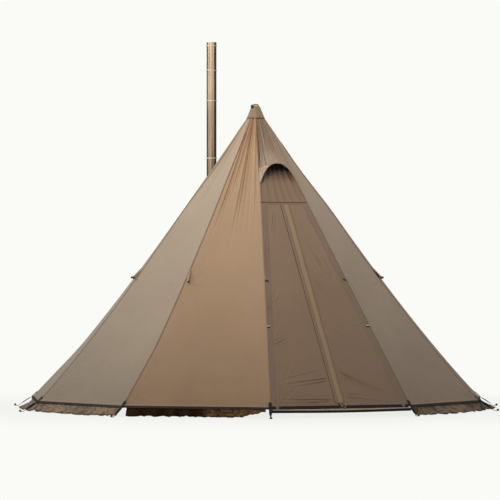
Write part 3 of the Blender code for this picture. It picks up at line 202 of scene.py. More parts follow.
class Finish:
    """One material: a Principled shader and the nodes that feed it."""

    def __init__(self, name, roughness, metallic=0.0, **constants):
        self.material = bpy.data.materials.new(name)
        self.material.use_nodes = True
        self.tree = self.material.node_tree
        self.shader = self.tree.nodes["Principled BSDF"]
        self.shader.inputs["Metallic"].default_value = metallic
        self.shader.inputs["Roughness"].default_value = roughness
        for label, value in constants.items():
            socket = label.replace("_", " ").title().replace("Ior", "IOR")
            self.shader.inputs[socket].default_value = value

    def node(self, kind, settings=None, values=None):
        made = self.tree.nodes.new("ShaderNode" + kind)
        for key, value in (settings or {}).items():
            setattr(made, key, value)
        for key, value in (values or {}).items():
            self.feed(made.inputs[key], value)
        return made

    def feed(self, socket, value):
        if isinstance(value, Tone):
            value = value.socket
        if isinstance(value, bpy.types.NodeSocket):
            self.tree.links.new(value, socket)
        else:
            socket.default_value = value

    def parts(self, spot):
        split = self.node("SeparateXYZ", values={0: spot})
        return spot, [Tone(self, part) for part in split.outputs]

    def place(self):
        """X, Y and Z on the object, in metres."""
        return self.parts(self.node("TexCoord").outputs["Object"])

    def cut(self):
        """Across and along the cloth as it was cut, in metres."""
        return self.parts(self.node("UVMap", {"uv_map": "cut"}).outputs[0])

    def noise(self, spot, scale, detail=2.0, stretch=(1.0, 1.0, 1.0)):
        moved = self.node("Mapping", values={"Vector": spot, "Scale": stretch}).outputs[0]
        made = self.node("TexNoise", values={"Vector": moved, "Scale": scale, "Detail": detail})
        return Tone(self, made.outputs["Fac"])

    def blend(self, share, low, high):
        made = self.node("Mix", {"data_type": "RGBA", "clamp_factor": True})
        for index, value in ((0, share), (6, low), (7, high)):
            self.feed(made.inputs[index], (*value, 1.0) if isinstance(value, tuple) else value)
        return made.outputs[2]

    def done(self, colour, height=None, depth=0.0, rough=None):
        """Feeds the shader and gives the material; height and depth make the bump."""
        self.feed(self.shader.inputs["Base Color"], colour)
        if height:
            made = self.node("Bump", values={"Height": height, "Distance": depth, "Strength": 1.0})
            self.feed(self.shader.inputs["Normal"], made.outputs[0])
        if rough:
            self.feed(self.shader.inputs["Roughness"], rough)
        return self.material


def paint(red, green, blue):
    """A screen colour from 0 to 255 as the linear colour that a shader takes."""
    shares = (part / 255 for part in (red, green, blue))
    return tuple(part / 12.92 if part <= 0.04045 else ((part + 0.055) / 1.055) ** 2.4 for part in shares)


def scaled(colour, *factors):
    """A colour times one factor, or times one for each of its three parts."""
    return tuple(min(part * factor, 1.0) for part, factor in zip(colour, factors * (3 // len(factors))))

# %% [markdown]
# ## Cloth finishes
#
# Tent cloth is a fine plain weave with a thin coating. From a few metres the threads vanish, and
# what is left is a soft dull surface, slightly uneven in tone. Painted shade makes it darker and
# warmer low down, where the ground throws less light on it, and painted light makes it paler and
# cooler high up. Webbing is a coarse weave with a rib.

# %% Cloth finishes
PALE, DEEP = 1.35, 0.7


def woven(name, colour, low=0.45, high=1.27, thread=0.0011, shade=None):
    """Plain weave: painted shade makes it warm and dark low down, painted light cool and pale high up;
    threads show close up.
    """
    finish = Finish(name, 0.78, sheen_weight=0.12, sheen_roughness=0.5, specular_ior_level=0.25)
    spot, (_, _, height) = finish.place()
    _, (across, along, _) = finish.cut()
    drift = finish.noise(spot, 1.7, 3.0) - 0.5
    grain = finish.noise(spot, 60.0, 2.0) - 0.5
    # painted light and shade: the height term makes the cloth darker low down and paler high up
    share = height / APEX_Z * 0.95 + drift * 0.24 + grain * 0.08 + 0.04
    # the painted shade low down is a little warmer, the painted light high up a little cooler
    dark = scaled(colour, low * 1.03, low, low * 0.96)
    pale = scaled(colour, high * 0.98, high, high * 1.05)
    tone = finish.blend(share, dark, pale)
    # painted shade: the colour darkens along the cut from start to end
    if shade:
        start, end, depth = shade
        tone = finish.blend((along - start) / (end - start), tone, scaled(colour, depth))
    step = 2 * math.pi / thread
    threads = (across * step).sin() * (along * step).sin()
    height = threads * 0.25 + finish.noise(spot, 45.0, 3.0) * 0.6
    return finish.done(tone, height, 0.0005, 0.78 + (finish.noise(spot, 9.0) - 0.5) * 0.12)


def crumpled(name, colour, deep, sheen=0.1, patch=None):
    """Cloth lying in a heap: painted shade in its creases, and painted shade where it meets the ground."""
    finish = Finish(name, 0.85, sheen_weight=sheen, sheen_roughness=0.5, specular_ior_level=0.12)
    spot, (right, _, height) = finish.place()
    broad = finish.noise(spot, 3.5, 2.0)
    wide = (finish.noise(spot, 16.0, 2.0, (1.0, 1.0, 1.6)) - 0.5).size()
    narrow = (finish.noise(spot, 48.0, 2.0) - 0.5).size()
    body = finish.blend(broad * 2.6 - 0.8, scaled(colour, DEEP), scaled(colour, PALE))
    if patch:
        start, end, other = patch
        body = finish.blend((right - start) / (end - start) + (broad - 0.5) * 0.3, body, other)
    # painted shade: the creases take a darker colour
    crease_painted_shade = tuple(0.3 * part + 0.5 * low for part, low in zip(colour, deep))
    folded = finish.blend(wide * 9.0 + narrow * 4.0, crease_painted_shade, body)
    lumps = finish.noise(spot, 38.0, 3.0)
    # painted shade: the cloth darkens over its lowest two centimetres, towards the ground
    tone = finish.blend(height * 70.0 - 0.30, deep, folded)
    return finish.done(tone, lumps + wide * 1.5, 0.0035, 0.8 + lumps * 0.1)


def webbed(name, colour, rib):
    """Flat webbing: ribs across the band over a finer twill, worn in patches."""
    finish = Finish(name, 0.8, sheen_weight=0.04, specular_ior_level=0.12)
    spot, _ = finish.place()
    _, (across, along, _) = finish.cut()
    ribs = (along * (2 * math.pi / rib)).sin()
    twill = ((across + along) * (2 * math.pi / rib / 1.5)).sin()
    wear = finish.noise(spot, 25.0, 3.0)
    tone = finish.blend(wear * 0.8 + ribs * 0.12 + 0.1, scaled(colour, DEEP), scaled(colour, PALE))
    return finish.done(tone, ribs * 0.6 + twill * 0.4, 0.0004)


CANOPY = woven("canopy_cloth", paint(171, 139, 108), 0.41)
# The side walls take a cooler, greyer copy of the canopy cloth: painted light, for the cooler light that
# falls on them.
SIDE_CANOPY = woven("side_canopy_cloth", paint(170, 148, 124), 0.40, 1.29)
# The seam cloth is darker than the walls: painted shade along the raised seams.
SEAM_CLOTH = woven("seam_cloth", paint(136, 111, 88))
# The front seam takes painted shade near its top: the shadow beside the hood.
FRONT_SEAM = woven("front_seam_cloth", paint(171, 139, 108), shade=(2.18, 2.34, 0.46))
CAP_CLOTH = woven("cap_cloth", paint(150, 124, 99), 0.6, 1.02)
EDGE_CLOTH = woven("door_edge_cloth", paint(134, 114, 98), 0.56, 1.14)
SILL_CLOTH = woven("sill_cloth", paint(164, 145, 124), 0.85, 1.0)
# Dark cloth for the header seam and the cap's hem, and for painted shadow lines beside the storm flap.
DARK_CLOTH = woven("dark_seam_and_shadow_cloth", paint(74, 57, 43), 0.8, 1.1)
DOOR_CLOTH = woven("door_cloth", paint(139, 115, 95), 0.54, 1.30)
# The vent cloth takes painted shade towards its top, under the hood.
VENT_CLOTH = woven("vent_cloth", paint(139, 115, 95), 0.54, 1.18, shade=(0.21, 0.35, 0.10))
FLAP_CLOTH = woven("flap_cloth", paint(160, 135, 107), 0.54, 1.16)
HOOD_CLOTH = woven("hood_cloth", paint(159, 138, 117), 0.8, 1.06)
GUSSET_CLOTH = woven("gusset_cloth", paint(172, 157, 140), 0.9, 1.04)
# The front skirt is a near-black copy of the skirt cloth: painted shade where it tucks in under the hem. Its
# right end is lighter, with less shade painted.
FRONT_SKIRT_LIGHTER_END = (-0.41, -0.33, paint(94, 69, 42))
PALE_SKIRT = crumpled("skirt_cloth", paint(117, 95, 74), paint(26, 18, 11))
FRONT_SKIRT_PAINTED_SHADE = crumpled("shaded_skirt_cloth", paint(36, 17, 0), paint(5, 2, 0), 0.0, FRONT_SKIRT_LIGHTER_END)
# The right-hand skirts take a darker copy of the skirt cloth: painted shade on the side away from the key
# light.
RIGHT_SKIRT_PAINTED_SHADE = crumpled("worn_skirt_cloth", paint(101, 81, 62), paint(24, 16, 10))
WEBBING = webbed("slate_webbing", paint(25, 28, 33), 0.0016)
BINDING = webbed("tan_binding", paint(212, 166, 120), 0.0012)
BRIM_TAPE = webbed("brim_tape", paint(182, 152, 122), 0.0012)
HEAT_CLOTH = woven("heat_cloth", paint(138, 137, 133), 0.9, 1.05, 0.0018)
THREAD = webbed("sewing_thread", paint(120, 94, 70), 0.0010)

# %% [markdown]
# ## Hard finishes
#
# The pipe is rolled from thin titanium. The first fires tint it straw and brown, most where it
# leaves the stove, and rolling leaves long fine streaks. The knobs are plain moulded plastic.

# %% Metal, rubber and plastic
def tinted_metal(name, cool, hot, rough):
    """Rolled titanium: straw to brown tint in soft bands, with streaks along the roll."""
    finish = Finish(name, rough, 1.0)
    spot, (_, _, height) = finish.place()
    streaks = finish.noise(spot, 60.0, 3.0, (1.0, 1.0, 0.05))
    bands = finish.noise(spot, 2.2, 2.0, (0.2, 0.2, 1.0))
    tone = finish.blend(height * 0.35 + bands * 0.7 + streaks * 0.45 - 0.72, hot, cool)
    return finish.done(tone, streaks, 0.00006, rough + streaks * 0.18)


def brushed_metal(name, colour, rough, stretch):
    """Drawn or brushed metal: fine lines in one direction."""
    finish = Finish(name, rough, 1.0)
    spot, _ = finish.place()
    lines = finish.noise(spot, 400.0, 3.0, stretch)
    wear = finish.noise(spot, 14.0, 3.0)
    tone = finish.blend(lines * 0.5 + wear * 0.5, scaled(colour, 0.8), scaled(colour, 1.15))
    return finish.done(tone, lines, 0.00008, rough + lines * 0.15)


def moulded(name, colour, rough):
    """Moulded plastic or rubber: an even colour under a fine grain, scuffed in places."""
    finish = Finish(name, rough, specular_ior_level=0.45)
    spot, _ = finish.place()
    grain = finish.noise(spot, 900.0, 2.0)
    scuff = finish.noise(spot, 60.0, 3.0)
    pale = tuple(part * 1.8 + 0.006 for part in colour)
    tone = finish.blend((scuff - 0.55) * 3.0, colour, pale)
    return finish.done(tone, grain, 0.00006, rough + scuff * 0.15)


TITANIUM = tinted_metal("rolled_titanium", paint(202, 176, 148), paint(104, 82, 62), 0.22)
RING_STEEL = brushed_metal("ring_steel", paint(216, 199, 176), 0.50, (1.0, 0.05, 1.0))
STEEL = brushed_metal("brushed_steel", paint(186, 184, 180), 0.30, (1.0, 0.05, 1.0))
ALUMINIUM = brushed_metal("drawn_aluminium", paint(200, 200, 203), 0.32, (1.0, 1.0, 0.03))
BLACK = moulded("black_plastic", paint(30, 30, 32), 0.42)
RUBBER = moulded("black_rubber", paint(38, 37, 36), 0.72)
GREY = moulded("grey_plastic", paint(206, 207, 208), 0.34)
print(len(bpy.data.materials), "materials so far")

# %% [markdown]
# ## From a grid of points to a cloth
#
# Most pieces here are cut cloth, so one helper makes them all: give it rows of points on the outer
# face and it returns a closed skin as thick as the cloth. The texture coordinates are the cloth's
# own measure in metres, so that the weave keeps its size on every panel.

# %% Mesh helpers
def steps_up(count, low=0.0, high=1.0):
    """Evenly spaced values for the rows of a grid."""
    return np.linspace(low, high, count)[:, None]


def steps_across(count, low=0.0, high=1.0):
    """Evenly spaced values for the columns of a grid."""
    return np.linspace(low, high, count)[None, :]


def unit(vectors):
    return vectors / np.maximum(np.linalg.norm(vectors, axis=-1, keepdims=True), 1e-12)


def walked(path, axis=0):
    """Distance walked along a path, or along every line of a grid."""
    steps = np.linalg.norm(np.diff(path, axis=axis), axis=-1)
    start = np.zeros_like(np.take(steps, [0], axis=axis))
    return np.concatenate([start, np.cumsum(steps, axis=axis)], axis=axis)


def bell(value, width, centre=0.0):
    """A smooth bump that is 1 at its centre."""
    return np.exp(-(((value - centre) / width) ** 2))


def circle(count):
    """Angles round a circle without the last one, which would meet the first."""
    return np.linspace(0.0, 2 * math.pi, count, endpoint=False)


def piece_of(name, points, faces, finish, uv=None, smooth=True):
    """A mesh object at the origin with its material, and its cut coordinates if it has any."""
    mesh = bpy.data.meshes.new(name)
    mesh.from_pydata([tuple(p) for p in points], [], faces)
    if uv is not None:
        layer = mesh.uv_layers.new(name="cut")
        corners = np.empty(len(mesh.loops), np.int32)
        mesh.loops.foreach_get("vertex_index", corners)
        layer.data.foreach_set("uv", np.asarray(uv, np.float32)[corners].ravel())
    if smooth:
        mesh.shade_smooth()
        mesh.set_sharp_from_angle(angle=math.radians(50))
    mesh.materials.append(finish)
    return placed(name, mesh)


def grid_normals(grid):
    """Unit normals of a grid whose columns run to the right and whose rows run up."""
    return unit(np.cross(np.gradient(grid, axis=1), np.gradient(grid, axis=0)))


def fit(piece, slot, *nodes, body="shelter"):
    """Hide the solids that a piece stands for and hang the piece on the body that it rides on. The slot is
    not used.
    """
    if nodes:
        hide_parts(*nodes)
    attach(piece, body)
    return piece


def cloth(name, grid, finish, thickness, slot, *nodes, body="shelter"):
    """A closed skin behind a grid of outer points."""
    rows, columns = grid.shape[:2]
    count, middle = rows * columns, columns // 2
    inner = grid - grid_normals(grid) * thickness
    across = walked(grid, 1)
    across -= across[:, middle : middle + 1]
    along = np.broadcast_to(walked(grid[:, middle])[:, None], across.shape)
    flat = np.stack([across, along], axis=2).reshape(-1, 2)
    index = np.arange(count).reshape(rows, columns)
    front = np.stack([index[:-1, :-1], index[:-1, 1:], index[1:, 1:], index[1:, :-1]], axis=2).reshape(-1, 4)
    rim = np.concatenate([index[0], index[1:, -1], index[-1, -2::-1], index[-2:0:-1, 0]])
    after = np.roll(rim, -1)
    edge = np.stack([after, rim, rim + count, after + count], axis=1)
    faces = np.concatenate([front, front[:, ::-1] + count, edge]).tolist()
    points = np.concatenate([grid.reshape(-1, 3), inner.reshape(-1, 3)])
    made = piece_of(name, points, faces, finish, np.concatenate([flat, flat]))
    return fit(made, slot, *nodes, body=body)


def soft_noise(first, second, scale, seed, waves=7):
    """Smooth random waves from -1 to 1 over two coordinates, the same on every run."""
    chance = np.random.default_rng(seed)
    total = np.zeros(np.broadcast(first, second).shape)
    for _ in range(waves):
        turn, phase = chance.uniform(0, 2 * math.pi, 2)
        pitch = scale * chance.uniform(0.6, 1.6)
        total += np.sin(pitch * (first * math.cos(turn) + second * math.sin(turn)) + phase)
    return total / waves ** 0.5 / 1.6


def crease(x, y, start, end, depth, width):
    """A tension fold: a narrow valley beside a low crest, strongest at its start."""
    start, end = np.array(start), np.array(end)
    length = np.linalg.norm(end - start)
    run = (end - start) / length
    along = (x - start[0]) * run[0] + (y - start[1]) * run[1]
    beside = (x - start[0]) * run[1] - (y - start[1]) * run[0]
    share = np.clip(along / length, 0.0, 1.0)
    fade = ease(-0.02, 0.04, along) * (1 - ease(0.6, 1.0, share)) * (0.45 + 0.55 * (1 - share))
    spread = width * (0.6 + 0.9 * share)
    crest = 0.7 * bell(beside, 1.2 * spread, 1.7 * spread)
    return depth * fade * (crest - bell(beside, spread))


def star(x, y, spot, side, rays, depth, width):
    """Folds that fan out from one point; a ray is how far inwards and how far up it runs."""
    tips = ((spot[0] - side * reach, spot[1] + lift) for reach, lift in rays)
    return sum(crease(x, y, spot, tip, depth, width) for tip in tips)


def marked(x, y, folds, deeper, width):
    """Folds that were read off the photograph, in millimetres: start, end and depth."""
    rows = np.array(folds) / 1000
    return sum(crease(x, y, row[:2], row[2:4], deeper * row[4], width) for row in rows)


print("helpers ready")

# %% [markdown]
# ## The nine walls
#
# A wall is cut as a long triangle, but it never hangs flat. Close under the cap the extra width is
# gathered, and pleats run down from there. Each guy-out tab and each peg pulls a small star of
# folds, and between them the cloth sags inwards. All of it is worked out as a distance from the
# smooth panel, so the folds can't leave the panel.

# %% Folds of the walls
PLEAT_SHARE = {1: 0.45, 8: 0.45}
TAB_RAYS = ((0.26, 0.10), (0.30, -0.07), (0.22, -0.24), (0.20, 0.24))
PEG_RAYS = ((0.34, 0.10), (0.38, 0.24), (0.26, 0.40), (0.10, 0.46))
FINE_LINES = (
    (-230, 1067, -330, 700, 3.4), (-74, 1158, -137, 866, 2.8), (-210, 1009, -365, 497, 3.4),
    (-250, 1010, -420, 561, 3.0), (-120, 1367, -250, 1109, 2.8), (-150, 930, -230, 560, 2.2),
)


def pleats(wall, share, height, count=10, depth=0.0085):
    """Folds that hang from the cap and die out downwards."""
    chance = np.random.default_rng(100 + wall)
    total = np.zeros(np.broadcast(share, height).shape)
    depth = depth * PLEAT_SHARE.get(wall, 1.0)
    for index in range(count):
        place = (index + chance.uniform(0.15, 0.85)) / count
        foot = chance.uniform(1.15, 1.85)
        width = chance.uniform(0.011, 0.024) * (1.0 if wall else 1.7)
        drift = chance.uniform(-0.03, 0.03)
        size = depth * chance.uniform(0.5, 1.2)
        fade = ease(foot, foot + 0.5, height) * (1 - 0.45 * ease(2.15, WALL_TOP, height))
        beside = (share - place - drift * (APEX_Z - height)) / width
        total += size * fade * (0.6 * bell(beside, 1.0, 1.6) - bell(beside, 1.0))
    return total


def wall_width(wall, height):
    """Chord of a wall at a height."""
    return np.linalg.norm(ridge(wall + 1, height) - ridge(wall, height), axis=-1)


def wall_folds(wall, share, height):
    """Everything that lifts a wall from its smooth face: pleats, pulls and soft waves."""
    x = (share - 0.5) * wall_width(wall, height)
    total = pleats(wall, share, height)
    for side in (-1, 1):
        peg = (side * 0.5 * wall_width(wall, HEM_Z), HEM_Z)
        total += star(x, height, peg, side, PEG_RAYS, 0.0016, 0.014)
        if (wall, side) not in ((1, -1), (9, 1)):
            tab = (side * 0.5 * wall_width(wall, TAB_Z), TAB_Z - 0.02)
            total += star(x, height, tab, side, TAB_RAYS, 0.0022, 0.012)
    if wall == 1:
        total += marked(x, height, FINE_LINES, 1.0, 0.0075)
    for depth, scale, seed in ((0.0022, 9.0, 40), (0.0010, 30.0, 60)):
        total += depth * soft_noise(x, height, scale, seed + wall) * ease(0.08, 0.3, height)
    return total * ease(0.0, 0.04, share) * (1 - ease(0.96, 1.0, share))

# %% [markdown]
# A wall is then a grid: across from seam to seam, and up from hem to cap. Walls that face the
# camera get a finer grid than those behind.

# %% Wall surfaces
FACE_SPREAD = math.radians(18)
SLOPE = math.atan((CORNER_R - APEX_R) * math.cos(FACE_SPREAD) / (APEX_Z - HEM_Z))


def middle_bearing(wall):
    start = CORNER_BEARINGS[wall]
    return start + ((CORNER_BEARINGS[(wall + 1) % CORNERS] - start) % 360.0) / 2


def wall_point(wall, share, height, out=0.0):
    """Points of a wall's outer face for arrays of shares and heights."""
    share, height = np.broadcast_arrays(np.asarray(share, float), np.asarray(height, float))
    start, end = ridge(wall, height), ridge(wall + 1, height)
    rise = np.clip((height - WALL_FOOT) / (WALL_TOP - WALL_FOOT), 0.0, 1.0)
    sag = PANEL_SAG * 4 * share * (1 - share) * np.sin(math.pi * rise)
    away = outward(middle_bearing(wall)) * math.cos(SLOPE) + UPRIGHT * math.sin(SLOPE)
    lift = wall_folds(wall, share, height) - sag + out
    return start + (end - start) * share[..., None] + away * lift[..., None]


def declare_sheet(low, high, length):
    """The area of a tapering sheet, the mean of both widths times its length. The value is not kept."""
    float((low + high) / 2 * length)


for wall in WALLS:
    columns, rows = (111, 231) if wall in (1, 8, 9) else (65, 131)
    grid = wall_point(wall, steps_across(columns), steps_up(rows, WALL_FOOT, WALL_TOP))
    # wall 9 takes the front cloth, the other walls the copy with painted light
    finish = CANOPY if wall == 9 else SIDE_CANOPY
    panel = cloth(f"wall_cloth_{wall}", grid, finish, 0.0010, "canopy", f"wall_{wall}")
    length = (WALL_TOP - WALL_FOOT) / math.cos(SLOPE)
    declare_sheet(wall_width(wall, WALL_FOOT), wall_width(wall, WALL_TOP), length)
print(len(WALLS), "walls")

# %% [markdown]
# ## A repeat along a path
#
# Stitches and zip coils are the same small thing again and again along a line. One node group
# does them all: it takes a line, resamples it at a fixed step, and sets a small block on each
# point, turned along the line and lying flat on the cloth.

# %% Geometry Nodes: blocks along a path
NODES = {
    "start": "NodeGroupInput", "end": "NodeGroupOutput", "curve": "GeometryNodeMeshToCurve",
    "resample": "GeometryNodeResampleCurve", "tangent": "GeometryNodeInputTangent",
    "out": "GeometryNodeInputNamedAttribute", "along": "FunctionNodeAlignRotationToVector",
    "flat": "FunctionNodeAlignRotationToVector", "cube": "GeometryNodeMeshCube",
    "place": "GeometryNodeInstanceOnPoints", "real": "GeometryNodeRealizeInstances",
    "coat": "GeometryNodeSetMaterial",
}
LINKS = (
    ("start", "Path", "curve", "Mesh"), ("curve", 0, "resample", "Curve"),
    ("start", "Step", "resample", "Length"), ("tangent", 0, "along", "Vector"),
    ("along", 0, "flat", "Rotation"), ("out", "Attribute", "flat", "Vector"),
    ("start", "Size", "cube", "Size"), ("resample", 0, "place", "Points"),
    ("cube", "Mesh", "place", "Instance"), ("flat", 0, "place", "Rotation"),
    ("place", 0, "real", 0), ("real", 0, "coat", "Geometry"),
    ("start", "Finish", "coat", "Material"), ("coat", 0, "end", "Blocks"),
)


def block_on_path():
    """Node group: a block of a given size every so many metres along a path with an out vector."""
    group = bpy.data.node_groups.new("block_on_path", "GeometryNodeTree")
    for label, kind in (("Path", "Geometry"), ("Step", "Float"), ("Size", "Vector"), ("Finish", "Material")):
        group.interface.new_socket(label, in_out="INPUT", socket_type="NodeSocket" + kind)
    group.interface.new_socket("Blocks", in_out="OUTPUT", socket_type="NodeSocketGeometry")
    made = {name: group.nodes.new(kind) for name, kind in NODES.items()}
    made["resample"].mode = "LENGTH"
    made["out"].data_type = "FLOAT_VECTOR"
    made["out"].inputs["Name"].default_value = "out"
    made["along"].axis = "X"
    made["flat"].axis, made["flat"].pivot_axis = "Z", "X"
    for source, way_out, target, way_in in LINKS:
        group.links.new(made[source].outputs[way_out], made[target].inputs[way_in])
    return group


REPEAT = block_on_path()


def baked(thing):
    """The mesh that an object's modifiers make of it."""
    return bpy.data.meshes.new_from_object(thing.evaluated_get(bpy.context.evaluated_depsgraph_get()))


def repeated(name, lines, step, size, finish):
    """Blocks along one or more lines; a line is an array of points and one of out vectors."""
    mesh = bpy.data.meshes.new(name + "_path")
    points, outs, edges = [], [], []
    for line, out in lines:
        edges += [(index, index + 1) for index in range(len(points), len(points) + len(line) - 1)]
        points += [tuple(p) for p in line]
        outs += [tuple(o) for o in np.broadcast_to(out, np.shape(line))]
    mesh.from_pydata(points, edges, [])
    layer = mesh.attributes.new("out", "FLOAT_VECTOR", "POINT")
    layer.data.foreach_set("vector", np.asarray(outs, np.float32).ravel())
    path = placed(name + "_path", mesh)
    nodes = path.modifiers.new("repeat", "NODES")
    nodes.node_group = REPEAT
    values = {"Step": step, "Size": size, "Finish": finish}
    for item in REPEAT.interface.items_tree:
        if item.in_out == "INPUT" and item.name in values:
            nodes[item.identifier] = values[item.name]
    made_mesh = baked(path)
    bpy.data.objects.remove(path)
    made_mesh.name = name
    return placed(name, made_mesh)


def sewn(name, lines, step, size, slot, body="shelter"):
    """Rows of stitches: the same blocks, in thread."""
    return fit(repeated(name, lines, step, size, THREAD), slot, body=body)


print("stitching ready")

# %% [markdown]
# ## Felled seams
#
# Where two walls meet, their edges are folded into each other and sewn down twice. That gives a
# flat rib 14 mm wide, which hides the raw edges and carries the pull from the peak to the peg.

# %% Seams on the ridges
SEAM_HALF = 0.007
SEAM_LIFT, SEAM_EDGE_LIFT = 0.0016, 0.0004
DOOR_BEARING = (CORNER_BEARINGS[0] + CORNER_BEARINGS[1]) / 2
DOOR_SPREAD = math.radians(CORNER_BEARINGS[1] - CORNER_BEARINGS[0]) / 2
DOOR_LEAN = math.atan((CORNER_R - APEX_R) * math.cos(DOOR_SPREAD) / (APEX_Z - HEM_Z))
DOOR_AWAY, DOOR_ACROSS = outward(DOOR_BEARING), sideways(DOOR_BEARING)
DOOR_UP = UPRIGHT * math.cos(DOOR_LEAN) - DOOR_AWAY * math.sin(DOOR_LEAN)
DOOR_OUT = DOOR_AWAY * math.cos(DOOR_LEAN) + UPRIGHT * math.sin(DOOR_LEAN)
DOOR_ORIGIN = DOOR_AWAY * CORNER_R * math.cos(DOOR_SPREAD) + UPRIGHT * HEM_Z


def on_door(across, up, out=0.0):
    """Points from their place on the door, in metres: across it, up its slope and out of it."""
    across, up, out = np.broadcast_arrays(*(np.asarray(v, float) for v in (across, up, out)))
    return (DOOR_ORIGIN + across[..., None] * DOOR_ACROSS
            + up[..., None] * DOOR_UP + out[..., None] * DOOR_OUT)


def slope(height):
    return (height - HEM_Z) / math.cos(DOOR_LEAN)


def half_width(up):
    """Half the door's width at a distance up its slope."""
    return straight_radius(HEM_Z + np.asarray(up) * math.cos(DOOR_LEAN)) * math.sin(DOOR_SPREAD)


seam_lines = []
heights = np.linspace(WALL_FOOT + 0.002, CAP_FOOT + 0.01, 160)
for corner in range(CORNERS):
    door_side = {0: 1, 1: -1}.get(corner, 0)
    rows = []
    for off in (-SEAM_HALF, -SEAM_HALF / 2, 0.0, SEAM_HALF / 2, SEAM_HALF):
        lift = SEAM_LIFT if abs(off) < SEAM_HALF else SEAM_EDGE_LIFT
        up = slope(heights)
        wall = corner if off > 0 or (off == 0 and corner > 0) else (corner - 1) % CORNERS
        share = abs(off) / wall_width(wall, heights)
        rows.append(on_door(off - door_side * half_width(up), up, lift) if off * door_side > 0
                    else wall_point(wall, share if wall == corner else 1 - share, heights, lift))
    grid = np.stack(rows, axis=1)
    cloth(f"seam_{corner}", grid, SEAM_CLOTH if corner else FRONT_SEAM, 0.0006, "canopy")
    for column in (1, 3):
        outs = grid_normals(grid)[2:-6, column]
        seam_lines.append((grid[2:-6, column] + outs * 0.0002, outs))
stitches = sewn("seam_stitches", seam_lines, 0.0085, (0.0058, 0.0009, 0.0006), "canopy")
print(len(stitches.data.polygons) // 6, "stitches on the seams")

# %% [markdown]
# ## The door's fixed frame and the band over it
#
# The leaves hang in a frame of doubled cloth that follows both seams. It is cut from the same
# cloth as the door, so we see it as two darker bands beside the seams and one across the top.

# %% Folds of the door
EDGE_WIDTH = 0.055
FOOT_RAYS = ((0.38, 0.34), (0.26, 0.52), (0.12, 0.60))
DOOR_FOLDS = {-1: (
    (-11, 267, -492, 203, 4.6), (-44, 239, -396, 175, 4.0), (-21, 69, -523, 74, 5.6),
    (-35, 65, -355, 25, 3.6), (-111, 335, -485, 232, 2.6), (-79, 44, -517, 42, 3.0),
    (-422, 655, -371, 714, 5.0), (-419, 621, -344, 714, 5.0), (-433, 579, -272, 671, 4.8),
    (-434, 558, -240, 645, 4.4), (-360, 757, -301, 738, 3.0), (-387, 886, -250, 1110, 5.4),
    (-376, 869, -223, 1128, 4.8), (-292, 1302, -233, 1602, 4.4), (-297, 1232, -243, 1478, 4.0),
    (-108, 1849, -179, 1571, 3.0), (-92, 1824, -178, 1508, 2.4), (-193, 1697, -283, 1384, 3.4),
), 1: (
    (46, 339, 511, 55, 5.6), (54, 266, 246, 198, 3.6), (63, 92, 500, 15, 4.6),
    (59, 708, 387, 541, 2.6), (64, 619, 274, 409, 2.2), (65, 310, 446, 56, 4.0),
    (57, 121, 323, 87, 3.6), (118, 1876, 237, 1597, 3.6), (46, 1196, 169, 1073, 5.4),
    (36, 1126, 210, 1021, 3.0), (99, 1541, 191, 1161, 4.0), (135, 1434, 250, 1090, 4.8),
    (203, 1399, 244, 1125, 3.6), (78, 891, 218, 778, 3.4), (327, 755, 267, 730, 3.4),
    (32, 736, 225, 623, 2.6),
)}


def near_hinge(folds, away):
    """Folds get shallow at the hinge line, so that a leaf can turn back over its frame."""
    return np.clip(folds, -0.0020 - 0.35 * np.maximum(away - 0.012, 0.0), 0.25 * np.maximum(away, 0.0))


def leaf_folds(side, across, up):
    """Soft waves, and fans of folds from the zip, the toggle, the foot corners and the top."""
    total = 0.0014 * soft_noise(across, up, 14.0, 7) + 0.00056 * soft_noise(across, up, 45.0, 8)
    total += marked(across, up, DOOR_FOLDS[side], 1.5, 0.0056)
    foot = (side * (half_width(0.0) - EDGE_WIDTH), 0.0)
    return total + star(across, up, foot, side, FOOT_RAYS, 0.0020, 0.009)

# %% Door frame
TIE_IN, TIE_UP = 0.017, slope(0.675)
LEAF_GAP, LEAF_CENTRE, LEAF_FOOT = 0.0004, 0.010, -0.004
HEM_TRIM = 0.0095
HEADER_FOOT, HEADER_BAND = slope(1.610), 0.014
LEAF_TOP = HEADER_FOOT - 0.0015
ZIP_TOP = LEAF_TOP - 0.004
DOOR_LAP = 0.012
LAP_PLACES = np.array((-DOOR_LAP, -DOOR_LAP / 2, -0.0003, LEAF_GAP))
LAP_LIFTS = np.array((-0.0040, -0.0040, -0.0036, 0.0))

ups, shares = steps_up(200, LEAF_FOOT, HEADER_FOOT), steps_across(16)[:, 1:]
for side, name in SIDES:
    roll = 0.0004 * np.cos(2 * math.pi * shares) + 0.0006 * soft_noise(shares * EDGE_WIDTH, ups, 30.0, 17)
    roll = roll * np.sin(math.pi * np.clip(shares, 0.05, 0.95))
    inner = half_width(ups) - EDGE_WIDTH
    across = inner + EDGE_WIDTH * shares
    from_toggle = np.hypot(across - half_width(TIE_UP) + TIE_IN, ups - TIE_UP)
    folds = near_hinge(leaf_folds(side, side * across, ups), EDGE_WIDTH * shares)
    roll = roll + folds * ease(0.0, 0.25, 1 - shares) * ease(0.016, 0.045, from_toggle)
    across = side * np.concatenate([inner + LAP_PLACES, across], axis=1)
    lifts = np.concatenate([np.broadcast_to(LAP_LIFTS, (len(ups), 4)), roll], axis=1)
    grid = on_door(across, ups, lifts)[:, ::side]
    edge = cloth(f"door_edge_{name}", grid, EDGE_CLOTH, 0.0012, "door", "door_frame")
    flat = (EDGE_WIDTH + DOOR_LAP, float(HEADER_FOOT - LEAF_FOOT))
rises, shares = steps_up(5, 0.0002, HEADER_BAND), steps_across(90, -1.0, 1.0)
band = on_door(shares * half_width(HEADER_FOOT + rises), HEADER_FOOT + rises,
               0.0012 * np.sin(math.pi * rises / HEADER_BAND))
